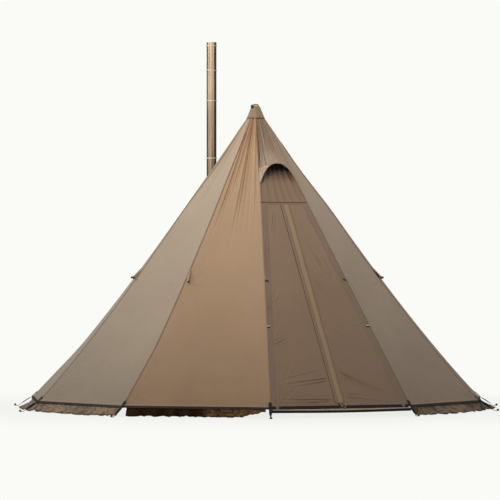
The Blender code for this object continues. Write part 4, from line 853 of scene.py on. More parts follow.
header = cloth("door_header", band, DOOR_CLOTH, 0.0014, "door", "door_frame")
float(2 * half_width(HEADER_FOOT))
ups = HEADER_FOOT + steps_up(4, HEADER_BAND - 0.002, HEADER_BAND + 0.006)
line = on_door(shares * (half_width(ups) - 0.004), ups, 0.0016)
cloth("header_seam", line, DARK_CLOTH, 0.0008, "door")
print("door frame, header and its seam")

# %% [markdown]
# ## The two door leaves
#
# A leaf is a long trapezoid that is pulled at four places: its two foot corners, the header and
# the toggle beside it. Straight tension folds fan out from each, and they cross the leaf without
# ever meeting the next one. That fan is what makes cloth look stretched.

# %% Door leaves
def beside(side, start, end, count):
    """Distances from the zip on either leaf, for a grid whose columns run to the right."""
    return start + (end - start) * steps_across(count)[:, ::side]


for side, name in SIDES:
    ups = steps_up(400, LEAF_FOOT, LEAF_TOP)
    outer = half_width(ups) - EDGE_WIDTH
    distance = beside(side, LEAF_CENTRE, outer - LEAF_GAP, 116)
    rim = ease(0.024, 0.060, distance - LEAF_CENTRE) * ease(0.0, 0.03, LEAF_TOP - ups)
    crest = 0.0024 + 0.0040 * ease(0.04, 0.10, distance)
    folds = np.minimum(leaf_folds(side, side * distance, ups), crest)
    lift = near_hinge(folds, outer - LEAF_GAP - distance) * rim
    leaf = cloth(f"door_leaf_{name}", on_door(side * distance, ups, lift), DOOR_CLOTH, 0.0012,
                 "door", f"door_{name}", body=f"{name}_leaf")
    wide, narrow = (float(half_width(up)) - EDGE_WIDTH - LEAF_CENTRE for up in (LEAF_FOOT, LEAF_TOP))
    declare_sheet(wide, narrow, LEAF_TOP - LEAF_FOOT)

    ups = steps_up(6, LEAF_FOOT, LEAF_FOOT + 0.020)
    distance = beside(side, LEAF_CENTRE, half_width(ups) - EDGE_WIDTH - HEM_TRIM, 60)
    lift = 0.0018 + 0.0003 * soft_noise(distance, ups, 60.0, 5)
    cloth(f"door_hem_band_{name}", on_door(side * distance, ups, lift), WEBBING, 0.0013,
          "webbing", f"door_hem_{name}", body=f"{name}_leaf")

    ups = steps_up(6, LEAF_FOOT - 0.002, LEAF_FOOT + 0.020)
    distance = beside(side, half_width(ups) - EDGE_WIDTH + 0.007, half_width(ups) - 0.001, 8)
    cloth(f"door_edge_foot_{name}", on_door(side * distance, ups, 0.0018), WEBBING, 0.0012, "webbing")
print("two leaves with their hems")

# %% [markdown]
# ## The zip and the flap over it
#
# Each half of the zip is a woven tape with a plastic coil sewn along its edge. The coil is only a
# row of small links, so we use the same repeat as for the stitches, with a bigger block.

# %% Zip
COIL_START, COIL_WIDTH, TAPE_WIDTH = 0.0008, 0.0027, 0.026
ZIP_FOOT = 0.006
TAPE_LOW, COIL_LOW = -0.0019, -0.0025
for side, name in SIDES:
    ups = steps_up(40, ZIP_FOOT, ZIP_TOP)
    distance = beside(side, COIL_START + COIL_WIDTH, TAPE_WIDTH, 3)
    cloth(f"zip_tape_{name}", on_door(side * distance, ups, TAPE_LOW), WEBBING, 0.0009,
          "black", f"zip_{name}", body=f"{name}_leaf")
    line = on_door(side * (COIL_START + COIL_WIDTH / 2), ups[:, 0], COIL_LOW)
    coil = repeated(f"zip_coil_{name}", [(line, DOOR_OUT)], 0.0022, (0.0013, 0.0026, 0.0036), BLACK)
    fit(coil, "black", f"zip_{name}", body=f"{name}_leaf")
print(len(coil.data.polygons) // 6, "links on each side of the zip")

# %% Storm flap
FLAP_HALF, FLAP_FOOT = 0.0315, 0.036
FLAP_ROOT, FLAP_HIGH = 0.0022, 0.0056
ups, shares = steps_up(260, FLAP_FOOT, ZIP_TOP), steps_across(25, -1.0, 1.0)
across = shares * FLAP_HALF
height = FLAP_ROOT + (FLAP_HIGH - FLAP_ROOT) * ease(-1.0, -0.80, shares)
height = height + 0.0007 * soft_noise(across, ups, 22.0, 31) * ease(-0.9, -0.5, shares)
height = height + 0.0010 * bell(np.abs(shares), 0.05, 0.86)
flap = cloth("storm_flap_cloth", on_door(across, ups, height), FLAP_CLOTH, 0.0014,
             "canopy", "storm_flap", body="flap")
float(ZIP_TOP - FLAP_FOOT)
# A darker strip over the left part of the flap: painted shade of the fold at its root.
root = on_door(across[:, 1:10], ups, height[:, 1:10] + 0.0009)
cloth("storm_flap_root_shade", root, EDGE_CLOTH, 0.0008, "canopy", body="flap")
lines = [(on_door(place * FLAP_HALF, ups[:, 0], FLAP_HIGH + 0.0006), DOOR_OUT) for place in (-0.66, 0.72)]
# Dark strips along both edges of the flap: painted shadow lines beside its folds.
for name, low, high, lift, body in (
    ("root", -0.0365, -0.0315, 0.0022, "left_leaf"), ("free", 0.0290, 0.0352, 0.0034, "flap"),
):
    strip = steps_across(4, low, high)
    line = on_door(strip, ups, lift + 0.0004 * (strip > low))
    cloth(f"storm_flap_shadow_line_{name}", line, DARK_CLOTH, 0.0008, "canopy", body=body)
sewn("storm_flap_stitches", lines, 0.0075, (0.0052, 0.0011, 0.0007), "canopy", "flap")

# %% [markdown]
# ## The hood and the vent behind it
#
# Above the door the cloth stands away from the tent like a small porch roof, so that air gets in
# and rain stays out. Head panel and hood are one piece of cloth: flat at the peak, then arched
# towards the brim. Pleats from the cap run down it, and a bound tape stiffens its edge.

# %% Hood
HOOD_TOP, HOOD_HEAD = slope(2.050), slope(WALL_TOP)
BRIM_Z = 1.775
BRIM_END, BRIM_RISE, BRIM_STAND, BRIM_POWER = slope(BRIM_Z), 0.150, 0.069, 2.4
BRIM_RAYS = ((0.30, 0.26), (0.22, 0.40), (0.34, 0.12))
HOOD_SWELL = 1.2
HOOD_ROWS = 70
GUSSET_SHARE, GUSSET_DROP = 0.25, 0.618


def hood_point(share, drop, out=0.0):
    """A point of the hood: share runs across, drop from its flat top to the brim."""
    share, drop = np.broadcast_arrays(np.asarray(share, float), np.asarray(drop, float))
    side = 2 * share - 1
    arch = 1 - np.abs(side) ** BRIM_POWER
    across = side * (half_width(HOOD_TOP) * (1 - drop) + half_width(BRIM_END) * drop)
    up = HOOD_TOP * (1 - drop) + (BRIM_END + BRIM_RISE * arch) * drop
    return on_door(across, up, BRIM_STAND * arch * drop ** HOOD_SWELL + out)


shares, drops = steps_across(121), steps_up(HOOD_ROWS)
head_ups = np.linspace(HOOD_HEAD, HOOD_TOP, HOOD_ROWS, endpoint=False)[:, None]
head = on_door((2 * shares - 1) * half_width(head_ups), head_ups)
smooth = np.concatenate([head, hood_point(shares, drops)])[::-1]
heights = smooth[..., 2]
across = (shares - 0.5) * np.linalg.norm(smooth[:, -1:] - smooth[:, :1], axis=2)
lift = pleats(0, shares, heights, 12, 0.0125) + 0.0018 * soft_noise(across, heights, 11.0, 71)
for side, _ in SIDES:
    foot = (side * float(half_width(BRIM_END)), BRIM_Z)
    lift += star(across, heights, foot, side, BRIM_RAYS, 0.0030, 0.010)
lift = lift * ease(0.0, 0.05, shares) * (1 - ease(0.95, 1.0, shares))
lift[:HOOD_ROWS] *= 0.25 + 0.75 * ease(0.0, 0.12, drops)
hood = cloth("hood_cloth", smooth + grid_normals(smooth) * lift[..., None], HOOD_CLOTH, 0.0010,
             "canopy", "head_panel", "vent_hood")
declare_sheet(2 * half_width(BRIM_END), 2 * half_width(HOOD_HEAD), HOOD_HEAD - BRIM_END)

# %% [markdown]
# A binding is a tape folded round an edge and sewn through. We sweep a flat oval along the brim,
# a little outside the cloth on both faces, and run a row of stitches on it.

# %% Brim binding
def tube_faces(count, sides, closed=False):
    """Faces between rings of points, with a lid on each end or the last ring tied to the first."""
    index = np.arange(count * sides).reshape(count, sides)
    if closed:
        index = np.concatenate([index, index[:1]])
    after = np.roll(index, -1, axis=1)
    faces = np.stack([index[:-1], after[:-1], after[1:], index[1:]], axis=2).reshape(-1, 4).tolist()
    return faces if closed else faces + [index[0][::-1].tolist(), index[-1].tolist()]


def swept(name, path, across_axis, out_axis, half_wide, half_thick, finish, sides=12, closed=False):
    """An oval section swept along a path; the two axes are unit vectors at each point."""
    angles = circle(sides)
    ring = path[:, None] + across_axis[:, None] * (half_wide * np.cos(angles))[None, :, None]
    ring = ring + out_axis[:, None] * (half_thick * np.sin(angles))[None, :, None]
    around = np.tile(angles * (half_wide + half_thick) / 2, len(path))
    flat = np.stack([around, np.repeat(walked(path), sides)], axis=1)
    made = piece_of(name, ring.reshape(-1, 3), tube_faces(len(path), sides, closed), finish, flat)
    if sum(face.center.dot(face.normal) * face.area for face in made.data.polygons) < 0:
        made.data.flip_normals()
    return made


brim_shares = np.linspace(0.012, 0.988, 140)
brim = hood_point(brim_shares, 1.0)
along = unit(np.gradient(brim, axis=0))
down = brim - hood_point(brim_shares, 0.95)
down = unit(down - along * (down * along).sum(axis=1, keepdims=True))
out = unit(np.cross(along, down))
brim_path = brim + down * 0.0038 - DOOR_OUT * 0.0006
wing = int(np.searchsorted(brim_shares, GUSSET_SHARE))
for name, part, finish in (
    ("wing_binding", slice(0, wing + 1), GUSSET_CLOTH), ("brim_binding", slice(wing, None), BRIM_TAPE),
):
    binding = swept(name, brim_path[part], down[part], out[part], 0.0056, 0.0026, finish, 14)
    fit(binding, "binding", "hood_binding")
steps = np.linspace(0.0, 1.0, 40)
edge = hood_point(GUSSET_SHARE * steps, GUSSET_DROP + (1 - GUSSET_DROP) * steps, 0.0062)
along = unit(np.gradient(edge, axis=0))
edge_down = unit(np.cross(DOOR_OUT, along))
fit(swept("gusset_binding", edge, edge_down, np.cross(along, edge_down), 0.0098, 0.0032, BINDING), "binding")
columns, rows = steps_across(30), steps_up(24, 1.0, 0.0)
drop = GUSSET_DROP + (1 - GUSSET_DROP) * columns * 0.98
gusset = hood_point(GUSSET_SHARE * columns + 0.004, drop + (1 - drop) * rows, 0.0016)
cloth("hood_gusset", gusset, GUSSET_CLOTH, 0.0008, "canopy")
out = out * np.sign((out * DOOR_OUT).sum(axis=1, keepdims=True))
sewn("brim_stitches", [(brim + down * 0.0030 + out * 0.0025, out)], 0.006, (0.004, 0.0009, 0.0006), "binding")

# %% Elastic loop at the foot of the flap
turns = np.linspace(0.0, math.pi, 40)
path = on_door(0.026 - 0.022 * np.cos(turns), 0.030 - 0.036 * np.sin(turns), 0.0054)
aside = unit(np.cross(DOOR_OUT, unit(np.gradient(path, axis=0))))
out = np.broadcast_to(DOOR_OUT, path.shape)
loop = swept("storm_flap_loop", path, aside, out, 0.0017, 0.0017, GUSSET_CLOTH, 10)
fit(loop, "canopy", body="flap")
print("hood, bindings and the flap's loop")

# %% [markdown]
# The vent panel hangs inside the mouth. It is wider than its place, so it is taken up in soft
# pleats that start on the header band and deepen towards the top.

# %% Vent panel
VENT_FOOT, VENT_TOP = HEADER_FOOT + HEADER_BAND + 0.0006, HOOD_TOP - 0.0003
VENT_SINK, VENT_PLEATS, VENT_PLEAT = 0.0032, 6, 0.0204
ups, shares = steps_up(90, VENT_FOOT, VENT_TOP), steps_across(181)
rise = (ups - VENT_FOOT) / (VENT_TOP - VENT_FOOT)
phase = VENT_PLEATS * shares + 0.10 * np.sin(2 * math.pi * shares * 1.7 + 0.8) * (0.3 + rise)
fold = (0.5 - 0.5 * np.cos(2 * math.pi * phase)) ** 0.7 * (0.25 + 0.75 * rise)
out = 0.0006 * soft_noise(shares * 0.6, ups, 30.0, 91) - VENT_PLEAT * fold
out = out - VENT_SINK * np.minimum((ups - VENT_FOOT) / 0.100, 1.0)
panel = on_door((2 * shares - 1) * (half_width(ups) - 0.0024), ups, out)
# The vent cloth darkens towards its top: painted shade under the hood.
vent = cloth("vent_panel_cloth", panel, VENT_CLOTH, 0.0012, "door", "vent_panel")
declare_sheet(2 * half_width(VENT_FOOT), 2 * half_width(VENT_TOP), VENT_TOP - VENT_FOOT)
print("door, hood and vent are in place")

# %% [markdown]
# ## The hem
#
# The foot of every wall is turned up and sewn under a dark webbing, which spreads the pull of the
# pegs along the whole edge. The turned-up cloth is a real fold. It takes a paler cloth than the
# wall, a painted highlight, so it shows as a thin pale line over the webbing.

# %% Hem webbing and the fold over it
HEM_BAND_LOW = 0.066
HEM_BAND_HIGH = HEM_BAND_LOW + 0.020 * math.cos(DOOR_LEAN)
HEM_LIFT = 0.0030
bands, folds = [], []
heights = steps_up(6, HEM_BAND_LOW, HEM_BAND_HIGH)
rises = steps_up(6, -0.002, 0.010)
roll = 0.0008 + 0.0012 * np.sin(math.pi * (rises + 0.002) / 0.012)
for wall in WALLS:
    shares = steps_across(41)[:, : 40 + (wall == WALLS[-1])]
    lift = HEM_LIFT + 0.0004 * soft_noise(shares * 1.1 + wall, heights, 40.0, 3)
    bands.append(wall_point(wall, shares, heights, lift))
    folds.append(wall_point(wall, shares, HEM_BAND_HIGH + rises, roll))
grid = np.concatenate(bands, axis=1)
cloth("hem_band", grid, WEBBING, 0.0014, "webbing", "hem_webbing")
# The fold takes the paler flap cloth: a painted highlight along the turned-up edge.
cloth("hem_fold", np.concatenate(folds, axis=1), FLAP_CLOTH, 0.0006, "canopy")
outs = grid_normals(grid)
lines = [(grid[row] + outs[row] * 0.0002, outs[row]) for row in (1, 4)]
sewn("hem_stitches", lines, 0.011, (0.0065, 0.0009, 0.0006), "webbing")
print("webbing and fold round the hem")

# %% [markdown]
# ## The skirts
#
# Below the hem hangs a loose flap of cloth, which is weighed down with snow or stones. Nothing
# pulls it straight, so it crumples: large waves along its length and small dents between them.

# %% Skirts
REST_GAP = 0.0003
SKIRT_TOP, SKIRT_FOOT = WALL_FOOT - REST_GAP, 0.0028
SKIRT_TUCK = (SKIRT_TOP - HEM_BAND_LOW + REST_GAP) / (SKIRT_TOP - SKIRT_FOOT)
SKIRT_END = 0.030
SKIRT_WAVES, SKIRT_WAVE = 7, 0.016
SKIRT_RAG = 0.004
FRONT_SKIRT, OTHER_SKIRT = (0.004, 0.0026, 0.044), (0.110, 0.0046, 0.0)
# The front and the right-hand skirts take darker copies of the skirt cloth: painted shade.
SKIRTS = (("right", (1, 2, 3), RIGHT_SKIRT_PAINTED_SHADE), ("rear", (4, 5, 6), PALE_SKIRT),
          ("left", (7, 8), PALE_SKIRT), ("front", (9,), FRONT_SKIRT_PAINTED_SHADE))


def skirt_points(wall, share, drop):
    """The outer face of a skirt, crumpled; drop runs from 0 at the hem to 1 at the ground."""
    share, drop = np.broadcast_arrays(share, drop)
    start, end = ridge(wall, SKIRT_TOP), ridge(wall + 1, SKIRT_TOP)
    top = start + (end - start) * share[..., None]
    away = unit(top * (1.0, 1.0, 0.0))
    length = share * np.linalg.norm(end - start)

    def waves(tall, scale, seed, count=7):
        return soft_noise(length, drop * tall, scale, seed + wall, count)

    flare, dent, raised = FRONT_SKIRT if wall == 9 else OTHER_SKIRT
    hang = np.maximum(drop - SKIRT_TUCK, 0.0) / (1 - SKIRT_TUCK)
    phase = 2 * math.pi * (SKIRT_WAVES * share + 0.30 * np.sin(2 * math.pi * 1.6 * share + wall))
    ripple = np.sin(phase) + 0.45 * np.sin(2 * phase + wall)
    ripple = ripple * (0.35 + 0.65 * ease(0.0, 0.12, share * (1 - share) * 4))
    spread = flare * np.abs(np.sin(math.pi * share)) ** 0.6
    size = dent * hang * (1 - 0.4 * hang) * 2.0
    dents = waves(0.12, 60.0, 200, 9) + 0.5 * waves(0.12, 150.0, 210, 9)
    dents = dents + 1.4 * (0.5 - np.abs(waves(0.10, 38.0, 220, 5)))
    out = spread * hang ** 1.4 + SKIRT_WAVE * hang * ripple + size * dents
    rag = waves(0, 45.0, 240, 9) + 0.6 * waves(0, 140.0, 250, 9)
    lift = SKIRT_RAG * np.maximum(0.9 + 1.3 * rag, 0.0) + raised * ease(0.78, 1.0, share)
    height = SKIRT_TOP + (SKIRT_FOOT - SKIRT_TOP) * drop + hang * lift + size * 0.5 * waves(0.1, 70.0, 230)
    spot = top + away * out[..., None]
    spot[..., 2] = np.maximum(height, SKIRT_FOOT * 0.9)
    return spot


for name, walls, finish in SKIRTS:
    parts = []
    for wall in walls:
        first = SKIRT_END if wall == walls[0] else 0.0
        last = 1 - SKIRT_END if wall == walls[-1] else 1.0
        shares = steps_across(260, first, last)[:, : 259 + (wall == walls[-1])]
        parts.append(skirt_points(wall, shares, steps_up(25, 1.0, 0.0)))
    grid = np.concatenate(parts, axis=1)
    slot = "shaded_skirt" if name == "front" else "skirt"
    skirt = cloth(f"skirt_cloth_{name}", grid, finish, 0.0010, slot, f"skirt_{name}")
    wide, tall = float(walked(grid[12])[-1]), float(walked(grid)[-1].mean())
    print(f"skirt {name}: {wide:.2f} m long, {tall * 100:.0f} cm deep")

# %% [markdown]
# ## Peg straps
#
# A strap crosses each corner of the hem, turns down to the ground and ends in a cord loop for the
# peg. A plastic knob on the loop holds the fold of the cord. Strap, loop and knob are three pieces
# here, because they are made of three different things.

# %% Straps, loops and knobs at the corners
STRAP_TOP, STRAP_END_Z, STRAP_STAND, STRAP_HALF = 0.118, 0.0034, 0.0048, 0.010
PEG_REACH, DOOR_PEG_REACH = 0.115, 0.065
PEG_LOOP_R, PEG_CORD = 0.0120, 0.0025
STRAP_TWISTS = {1: -20.0, 2: -45.0, 3: -20.0, 7: 20.0, 8: 45.0, 9: 20.0}
FACET = (WALL_TOP - WALL_FOOT) / 12


def faceted_radius(corner, height):
    """The ridge's radius as the solid's rows of facets give it, near the hem."""
    low, high = ridge_radius(corner, WALL_FOOT), ridge_radius(corner, WALL_FOOT + FACET)
    return low + (high - low) * (height - WALL_FOOT) / FACET


def lathe(name, profile, centre, axis, finish, sides=28):
    """A turned piece: profile is (radius, height along the axis)."""
    profile = np.asarray(profile, float)
    axis = unit(np.asarray(axis, float))
    first = unit(np.cross(axis, (0.31, 0.9, 0.2)))
    angles = circle(sides)[:, None]
    ring = first * np.cos(angles) + np.cross(axis, first) * np.sin(angles)
    points = np.asarray(centre) + axis * profile[:, None, 1:2] + ring * profile[:, None, 0:1]
    return piece_of(name, points.reshape(-1, 3), tube_faces(len(profile), sides), finish)


def eased_cylinder(radius, low, high, ease_by, steps=5):
    """Profile of a cylinder with rounded edges."""
    turns = np.linspace(0.0, math.pi / 2, steps)
    core, sine, cosine = radius - ease_by, ease_by * np.sin(turns), ease_by * np.cos(turns)
    start = np.stack([core + sine, low + ease_by - cosine], axis=1)
    return np.concatenate([start, np.stack([core + cosine, high - ease_by + sine], axis=1)])


for corner, bearing in enumerate(CORNER_BEARINGS):
    away, aside = outward(bearing), sideways(bearing)
    end = CORNER_R + (DOOR_PEG_REACH if corner < 2 else PEG_REACH)
    knots = np.array([(faceted_radius(corner, z) + STRAP_STAND, z) for z in (STRAP_TOP, HEM_BAND_LOW)]
                     + [(end, STRAP_END_Z)])
    run = np.concatenate([np.linspace(knots[0], knots[1], 14)[:-1], np.linspace(knots[1], knots[2], 30)])
    path = away * run[:, :1] + UPRIGHT * run[:, 1:]
    face = unit(np.cross(aside, np.gradient(path, axis=0)))
    face = face * np.sign((face * (away + UPRIGHT)).sum(axis=1, keepdims=True))
    down = steps_up(len(path))
    twist = math.radians(STRAP_TWISTS.get(corner, 0.0)) * ease(0.20, 0.45, down) * (1 - ease(0.75, 1.0, down))
    turned = aside * np.cos(twist) - face * np.sin(twist)
    top_side = face * np.cos(twist) + aside * np.sin(twist)
    offsets = steps_across(7, -1.0, 1.0)
    half = STRAP_HALF * (1.12 - 0.86 * ease(0.64, 0.94, down)) * offsets
    cup = 0.0007 + 0.0006 * (1 - offsets ** 2)
    path = path + face * 0.004 * np.sin(math.pi * down)
    grid = path[:, None] + turned[:, None] * half[..., None] + top_side[:, None] * cup[..., None]
    grid[..., 2] = np.maximum(grid[..., 2], 0.0018)
    cloth(f"strap_{corner}", grid[::-1], WEBBING, 0.0014, "webbing", f"peg_strap_{corner}")
    turns = circle(40)[:, None]
    radial = np.cos(turns) * away + 0.92 * np.sin(turns) * aside
    ring = away * (end + PEG_LOOP_R) + UPRIGHT * (PEG_CORD + REST_GAP) + PEG_LOOP_R * radial
    loop = swept(f"peg_cord_{corner}", ring, unit(radial), np.broadcast_to(UPRIGHT, ring.shape),
                 PEG_CORD, PEG_CORD, BINDING, 10, closed=True)
    spot = away * (end + 2 * PEG_LOOP_R + 0.0036) + UPRIGHT * 0.0012
    knob = lathe(f"peg_knob_{corner}", eased_cylinder(0.0085, 0.0, 0.0165, 0.0050, 7), spot, UPRIGHT, BLACK)
    for piece in (loop, knob):
        fit(piece, "webbing", f"peg_strap_{corner}")
print("ten peg straps")

# %% [markdown]
# The sill strap ties the two door corners together, so that the door's foot can't spread when its
# leaves are open.

# %% Sill strap
SILL_Z, SILL_SAG, SILL_BAND = 0.052, 0.008, 0.018

start = faceted_radius(0, HEM_BAND_LOW) + STRAP_STAND
share = (HEM_BAND_LOW - SILL_Z - SILL_BAND / 2) / (HEM_BAND_LOW - STRAP_END_Z)
radius = start + (CORNER_R + DOOR_PEG_REACH - start) * share - 0.0014
shares, edges = steps_across(120, -1.0, 1.0), steps_up(7, -0.5, 0.5)
cup = 0.0005 * (1 - (2 * edges) ** 2) + 0.0003 * soft_noise(shares, edges * 0.02, 30.0, 19)
reach = (radius * math.sin(DOOR_SPREAD) - 0.001) * shares + 0 * edges
grid = DOOR_AWAY * (radius * math.cos(DOOR_SPREAD) + cup)[..., None] + DOOR_ACROSS * reach[..., None]
grid[..., 2] = SILL_Z - SILL_SAG * (1 - shares ** 2) + edges * SILL_BAND
cloth("sill_band", grid, WEBBING, 0.0014, "webbing", "sill_strap")

# %% [markdown]
# Behind the leaves stands a low inner flap. It closes the gap over the ground when the door is shut.

# %% Inner sill flap
SILL_SECTION = ((1.749, 0.040), (1.750, 0.050), (1.750, 0.058), (1.748, 0.064),
                (1.740, 0.067), (1.722, 0.0685), (1.714, 0.076), (1.711, 0.090))
away, rise = np.array(SILL_SECTION).T[..., None]
shares = steps_across(140, -1.0, 1.0)
sag = -0.35 * SILL_SAG * (1 - shares ** 2) + 0.0008 * soft_noise(shares * 0.5, rise * 2, 40.0, 23)
reach = (away * math.tan(DOOR_SPREAD) - 0.006) * shares
out = away + 0.0015 * soft_noise(shares * 0.5, rise, 60.0, 29)
grid = DOOR_AWAY * out[..., None] + DOOR_ACROSS * reach[..., None]
grid[..., 2] = rise + sag
sill_flap = cloth("sill_flap", grid, SILL_CLOTH, 0.0010, "door")
print("sill strap and flap")

# %% [markdown]
# ## Guy-out tabs
#
# Half way up each seam sits a triangle of doubled webbing. A guy line would be tied to its tip,
# where a short moulded end keeps the webbing from wearing through.

# %% Tabs on the seams
GUY_Z, GUY_UP, GUY_DOWN = TAB_Z + 0.042, 0.050, 0.030
GUY_SHORT, GUY_REACH, GUY_LEAN = 0.021, 0.040, {9: 0.046}
DOOR_TABS = {
    0: ((-0.324, 1.245, 0.0016), (-0.338, 1.190, 0.0016), (-0.323, 1.172, 0.0060)),
    1: ((0.308, 1.275, 0.0016), (0.320, 1.222, 0.0016), (0.322, 1.180, 0.0060)),
}


def tab_sheet(name, top, low, tip, normal, finish):
    """A triangular tab from three corners, a little dished, with a blunt tip."""
    shares, drops = steps_across(9)[..., None], steps_up(12, 0.0, 0.93)[..., None]
    root = top + (low - top) * shares
    dish = 0.0010 * np.sin(math.pi * shares) * np.sin(math.pi * drops)
    cloth(name, root + (tip - root) * drops + normal * (dish + 0.0007), finish, 0.0016, "canopy")


for corner, bearing in enumerate(CORNER_BEARINGS):
    if corner in DOOR_TABS:
        top, foot, tip = (on_door(*spot) for spot in DOOR_TABS[corner])
        normal, lie, thick = DOOR_OUT, DOOR_ACROSS * 0.93 - DOOR_UP * 0.3, 0.0056
    else:
        low, lean = GUY_Z - GUY_DOWN, GUY_LEAN.get(corner, 0.0)
        top, foot = ridge(corner, GUY_Z + GUY_UP, 0.0005), ridge(corner, low, 0.0005)
        tip = ridge(corner, low, GUY_REACH if lean else GUY_SHORT)
        tip = tip + sideways(bearing) * (lean + 0.0009) - UPRIGHT * (0.0288 if lean else 0.0036)
        normal, lie, thick = -sideways(bearing), outward(bearing) * 0.93 - UPRIGHT * 0.3, 0.0075
    # The tab at corner 2 takes the dark webbing: painted shade on the tent's shaded right edge.
    tab_sheet(f"guy_tab_{corner}", top, foot, tip, normal, WEBBING if corner == 2 else FLAP_CLOTH)
    profile = [(0.0040, -0.0125), (0.0048, -0.0110), *eased_cylinder(thick, -0.0100, 0.0120, 0.0022)]
    centre = tip + unit(tip - (top + foot) / 2) * 0.004
    fit(lathe(f"guy_end_{corner}", profile, centre, lie, BLACK, 22), "black")
print("ten guy-out tabs")

# %% [markdown]
# The two tie-back toggles are carried over from the engineering model. Each stands on a small
# square of tape, which is sewn with a cross in a box.

# %% Tabs under the toggles
TAPE_HALF, STITCH_BOX = 0.0125, 0.0095
BOX = ((-1, -1), (1, -1), (1, 1), (-1, 1), (-1, -1), (1, 1))
tie_lines = []
for side, name in SIDES:
    centre = side * float(half_width(TIE_UP) - TIE_IN)
    ups, across = steps_up(9, -TAPE_HALF, TAPE_HALF), steps_across(9, -TAPE_HALF, TAPE_HALF)
    lift = 0.0009 - 0.0004 * (np.abs(ups) / TAPE_HALF) ** 6
    grid = on_door(centre + across, TIE_UP + ups, lift)
    cloth(f"toggle_tape_{name}", grid, WEBBING, 0.0010, "webbing")
    for start, end in zip(BOX[:-1], BOX[1:]):
        spots = np.linspace(start, end, 12) * STITCH_BOX
        tie_lines.append((on_door(centre + spots[:, 0], TIE_UP + spots[:, 1], 0.0010), DOOR_OUT))
sewn("toggle_stitches", tie_lines, 0.0032, (0.0022, 0.0006, 0.0005), "webbing")
print(len(tie_lines), "rows of stitches under the toggles")

# %% [markdown]
# ## The cap at the peak
#
# All ten seams would meet in one point and leak, so a cone of cloth is sewn over them. It has a
# hem at its foot, and the folds under it press through a little. On top is a cord loop, for
# hanging the tent from a branch, with a knob on its tail.

# %% Apex cap and loop
CAP_GAP, CAP_WALL, CAP_ROWS, CAP_STEPS = 0.0010, 0.0020, 26, 12
LOOP_HALF, LOOP_RISE, LOOP_CORD = 0.020, 0.009, 0.0056
TAIL = np.array(((-0.0180, -0.0020, 0.0050), (-0.0280, -0.0310, 0.0130), (-0.0290, -0.0330, 0.0040)))


def cap_ring(height, out):
    """The cap's outline at a height: ten sides with softly rounded corners."""
    points = []
    for corner in range(CORNERS):
        start, end = ridge(corner, height, out), ridge(corner + 1, height, out)
        points += [start + (end - start) * step / CAP_STEPS for step in range(CAP_STEPS)]
    points = np.array(points)
    for _ in range(3):
        points = (np.roll(points, 1, axis=0) + points * 2 + np.roll(points, -1, axis=0)) / 4
    return points


cap_rows = []
turns = circle(CORNERS * CAP_STEPS)
for share in np.linspace(0.0, 1.0, CAP_ROWS):
    ring = cap_ring(CAP_FOOT + (APEX_Z - CAP_FOOT) * share, CAP_GAP + CAP_WALL)
    press = 0.0014 * np.sin(21 * turns + 1.3 * np.sin(3 * turns)) * (1 - share) * ease(0.0, 0.15, share)
    press = press + 0.0012 * bell(share, 0.035, 0.06) - 0.004 * ease(0.85, 1.0, share)
    cap_rows.append(ring + unit(ring * (1.0, 1.0, 0.0)) * press[:, None])
for shrink, lift in ((0.80, 0.0008), (0.45, 0.0014), (0.10, 0.0016)):
    cap_rows.append(cap_rows[CAP_ROWS - 1] * (shrink, shrink, 1.0) + UPRIGHT * lift)
foot_rows = [cap_ring(height, CAP_GAP + CAP_WALL + 0.0016)
             for height in np.linspace(CAP_FOOT - 0.003, CAP_FOOT + 0.003, 4)]
cap_grid, foot_grid = (np.stack([np.concatenate([row, row[:1]]) for row in rows])
                       for rows in (cap_rows, foot_rows))
cap = cloth("apex_cap_cloth", cap_grid, CAP_CLOTH, 0.0012, "canopy", "apex_cap")
declare_sheet(walked(cap_grid[0])[-1], walked(cap_grid[CAP_ROWS - 1])[-1],
              (APEX_Z - CAP_FOOT) / math.cos(DOOR_LEAN) + 0.03)
cloth("apex_cap_hem", foot_grid, DARK_CLOTH, 0.0009, "canopy")
away = unit(cap_grid[2] * (1.0, 1.0, 0.0) + UPRIGHT * 0.02)
sewn("cap_stitches", [(cap_grid[2] + away * 0.0004, away)], 0.007, (0.0045, 0.0006, 0.0009), "canopy")

foot = APEX_Z + REST_GAP
turns = np.linspace(0.02, math.pi - 0.02, 60)
path = np.stack([-LOOP_HALF * np.cos(turns), 0 * turns, foot + 0.0016 + LOOP_RISE * np.sin(turns)], axis=1)
shares = steps_up(24)
tail = (1 - shares) ** 2 * TAIL[0] + 2 * shares * (1 - shares) * TAIL[1] + shares ** 2 * TAIL[2]
tail = tail + UPRIGHT * foot
tail_aside = unit(np.cross(np.gradient(tail, axis=0), (0.6, -0.8, 0.0)))
for name, line, aside, thick, sides, nodes in (
    ("apex_cord", path, np.broadcast_to((0.0, 1.0, 0.0), path.shape), LOOP_CORD, 14, ["apex_loop"]),
    ("apex_cord_tail", tail, tail_aside, 0.0022, 10, []),
):
    out = unit(np.cross(np.gradient(line, axis=0), aside))
    fit(swept(name, line, aside, out, thick, thick, CAP_CLOTH, sides), "binding", *nodes)
spot = (-0.0290, -0.0330, foot - 0.0060)
knob = lathe("apex_cord_knob", eased_cylinder(0.0100, -0.0110, 0.0110, 0.0050), spot, UPRIGHT, BLACK, 26)
fit(knob, "black", "apex_toggle")
print("cap, loop and knob")

# %% [markdown]
# ## Where the pipe goes through
#
# The pipe would scorch the cloth, so the rear wall has a large hole there, and a patch of glass
# cloth covers it. The patch is worked out in rings, from the round hole to its square edge. A
# Boolean takes the same hole out of the wall's cloth.

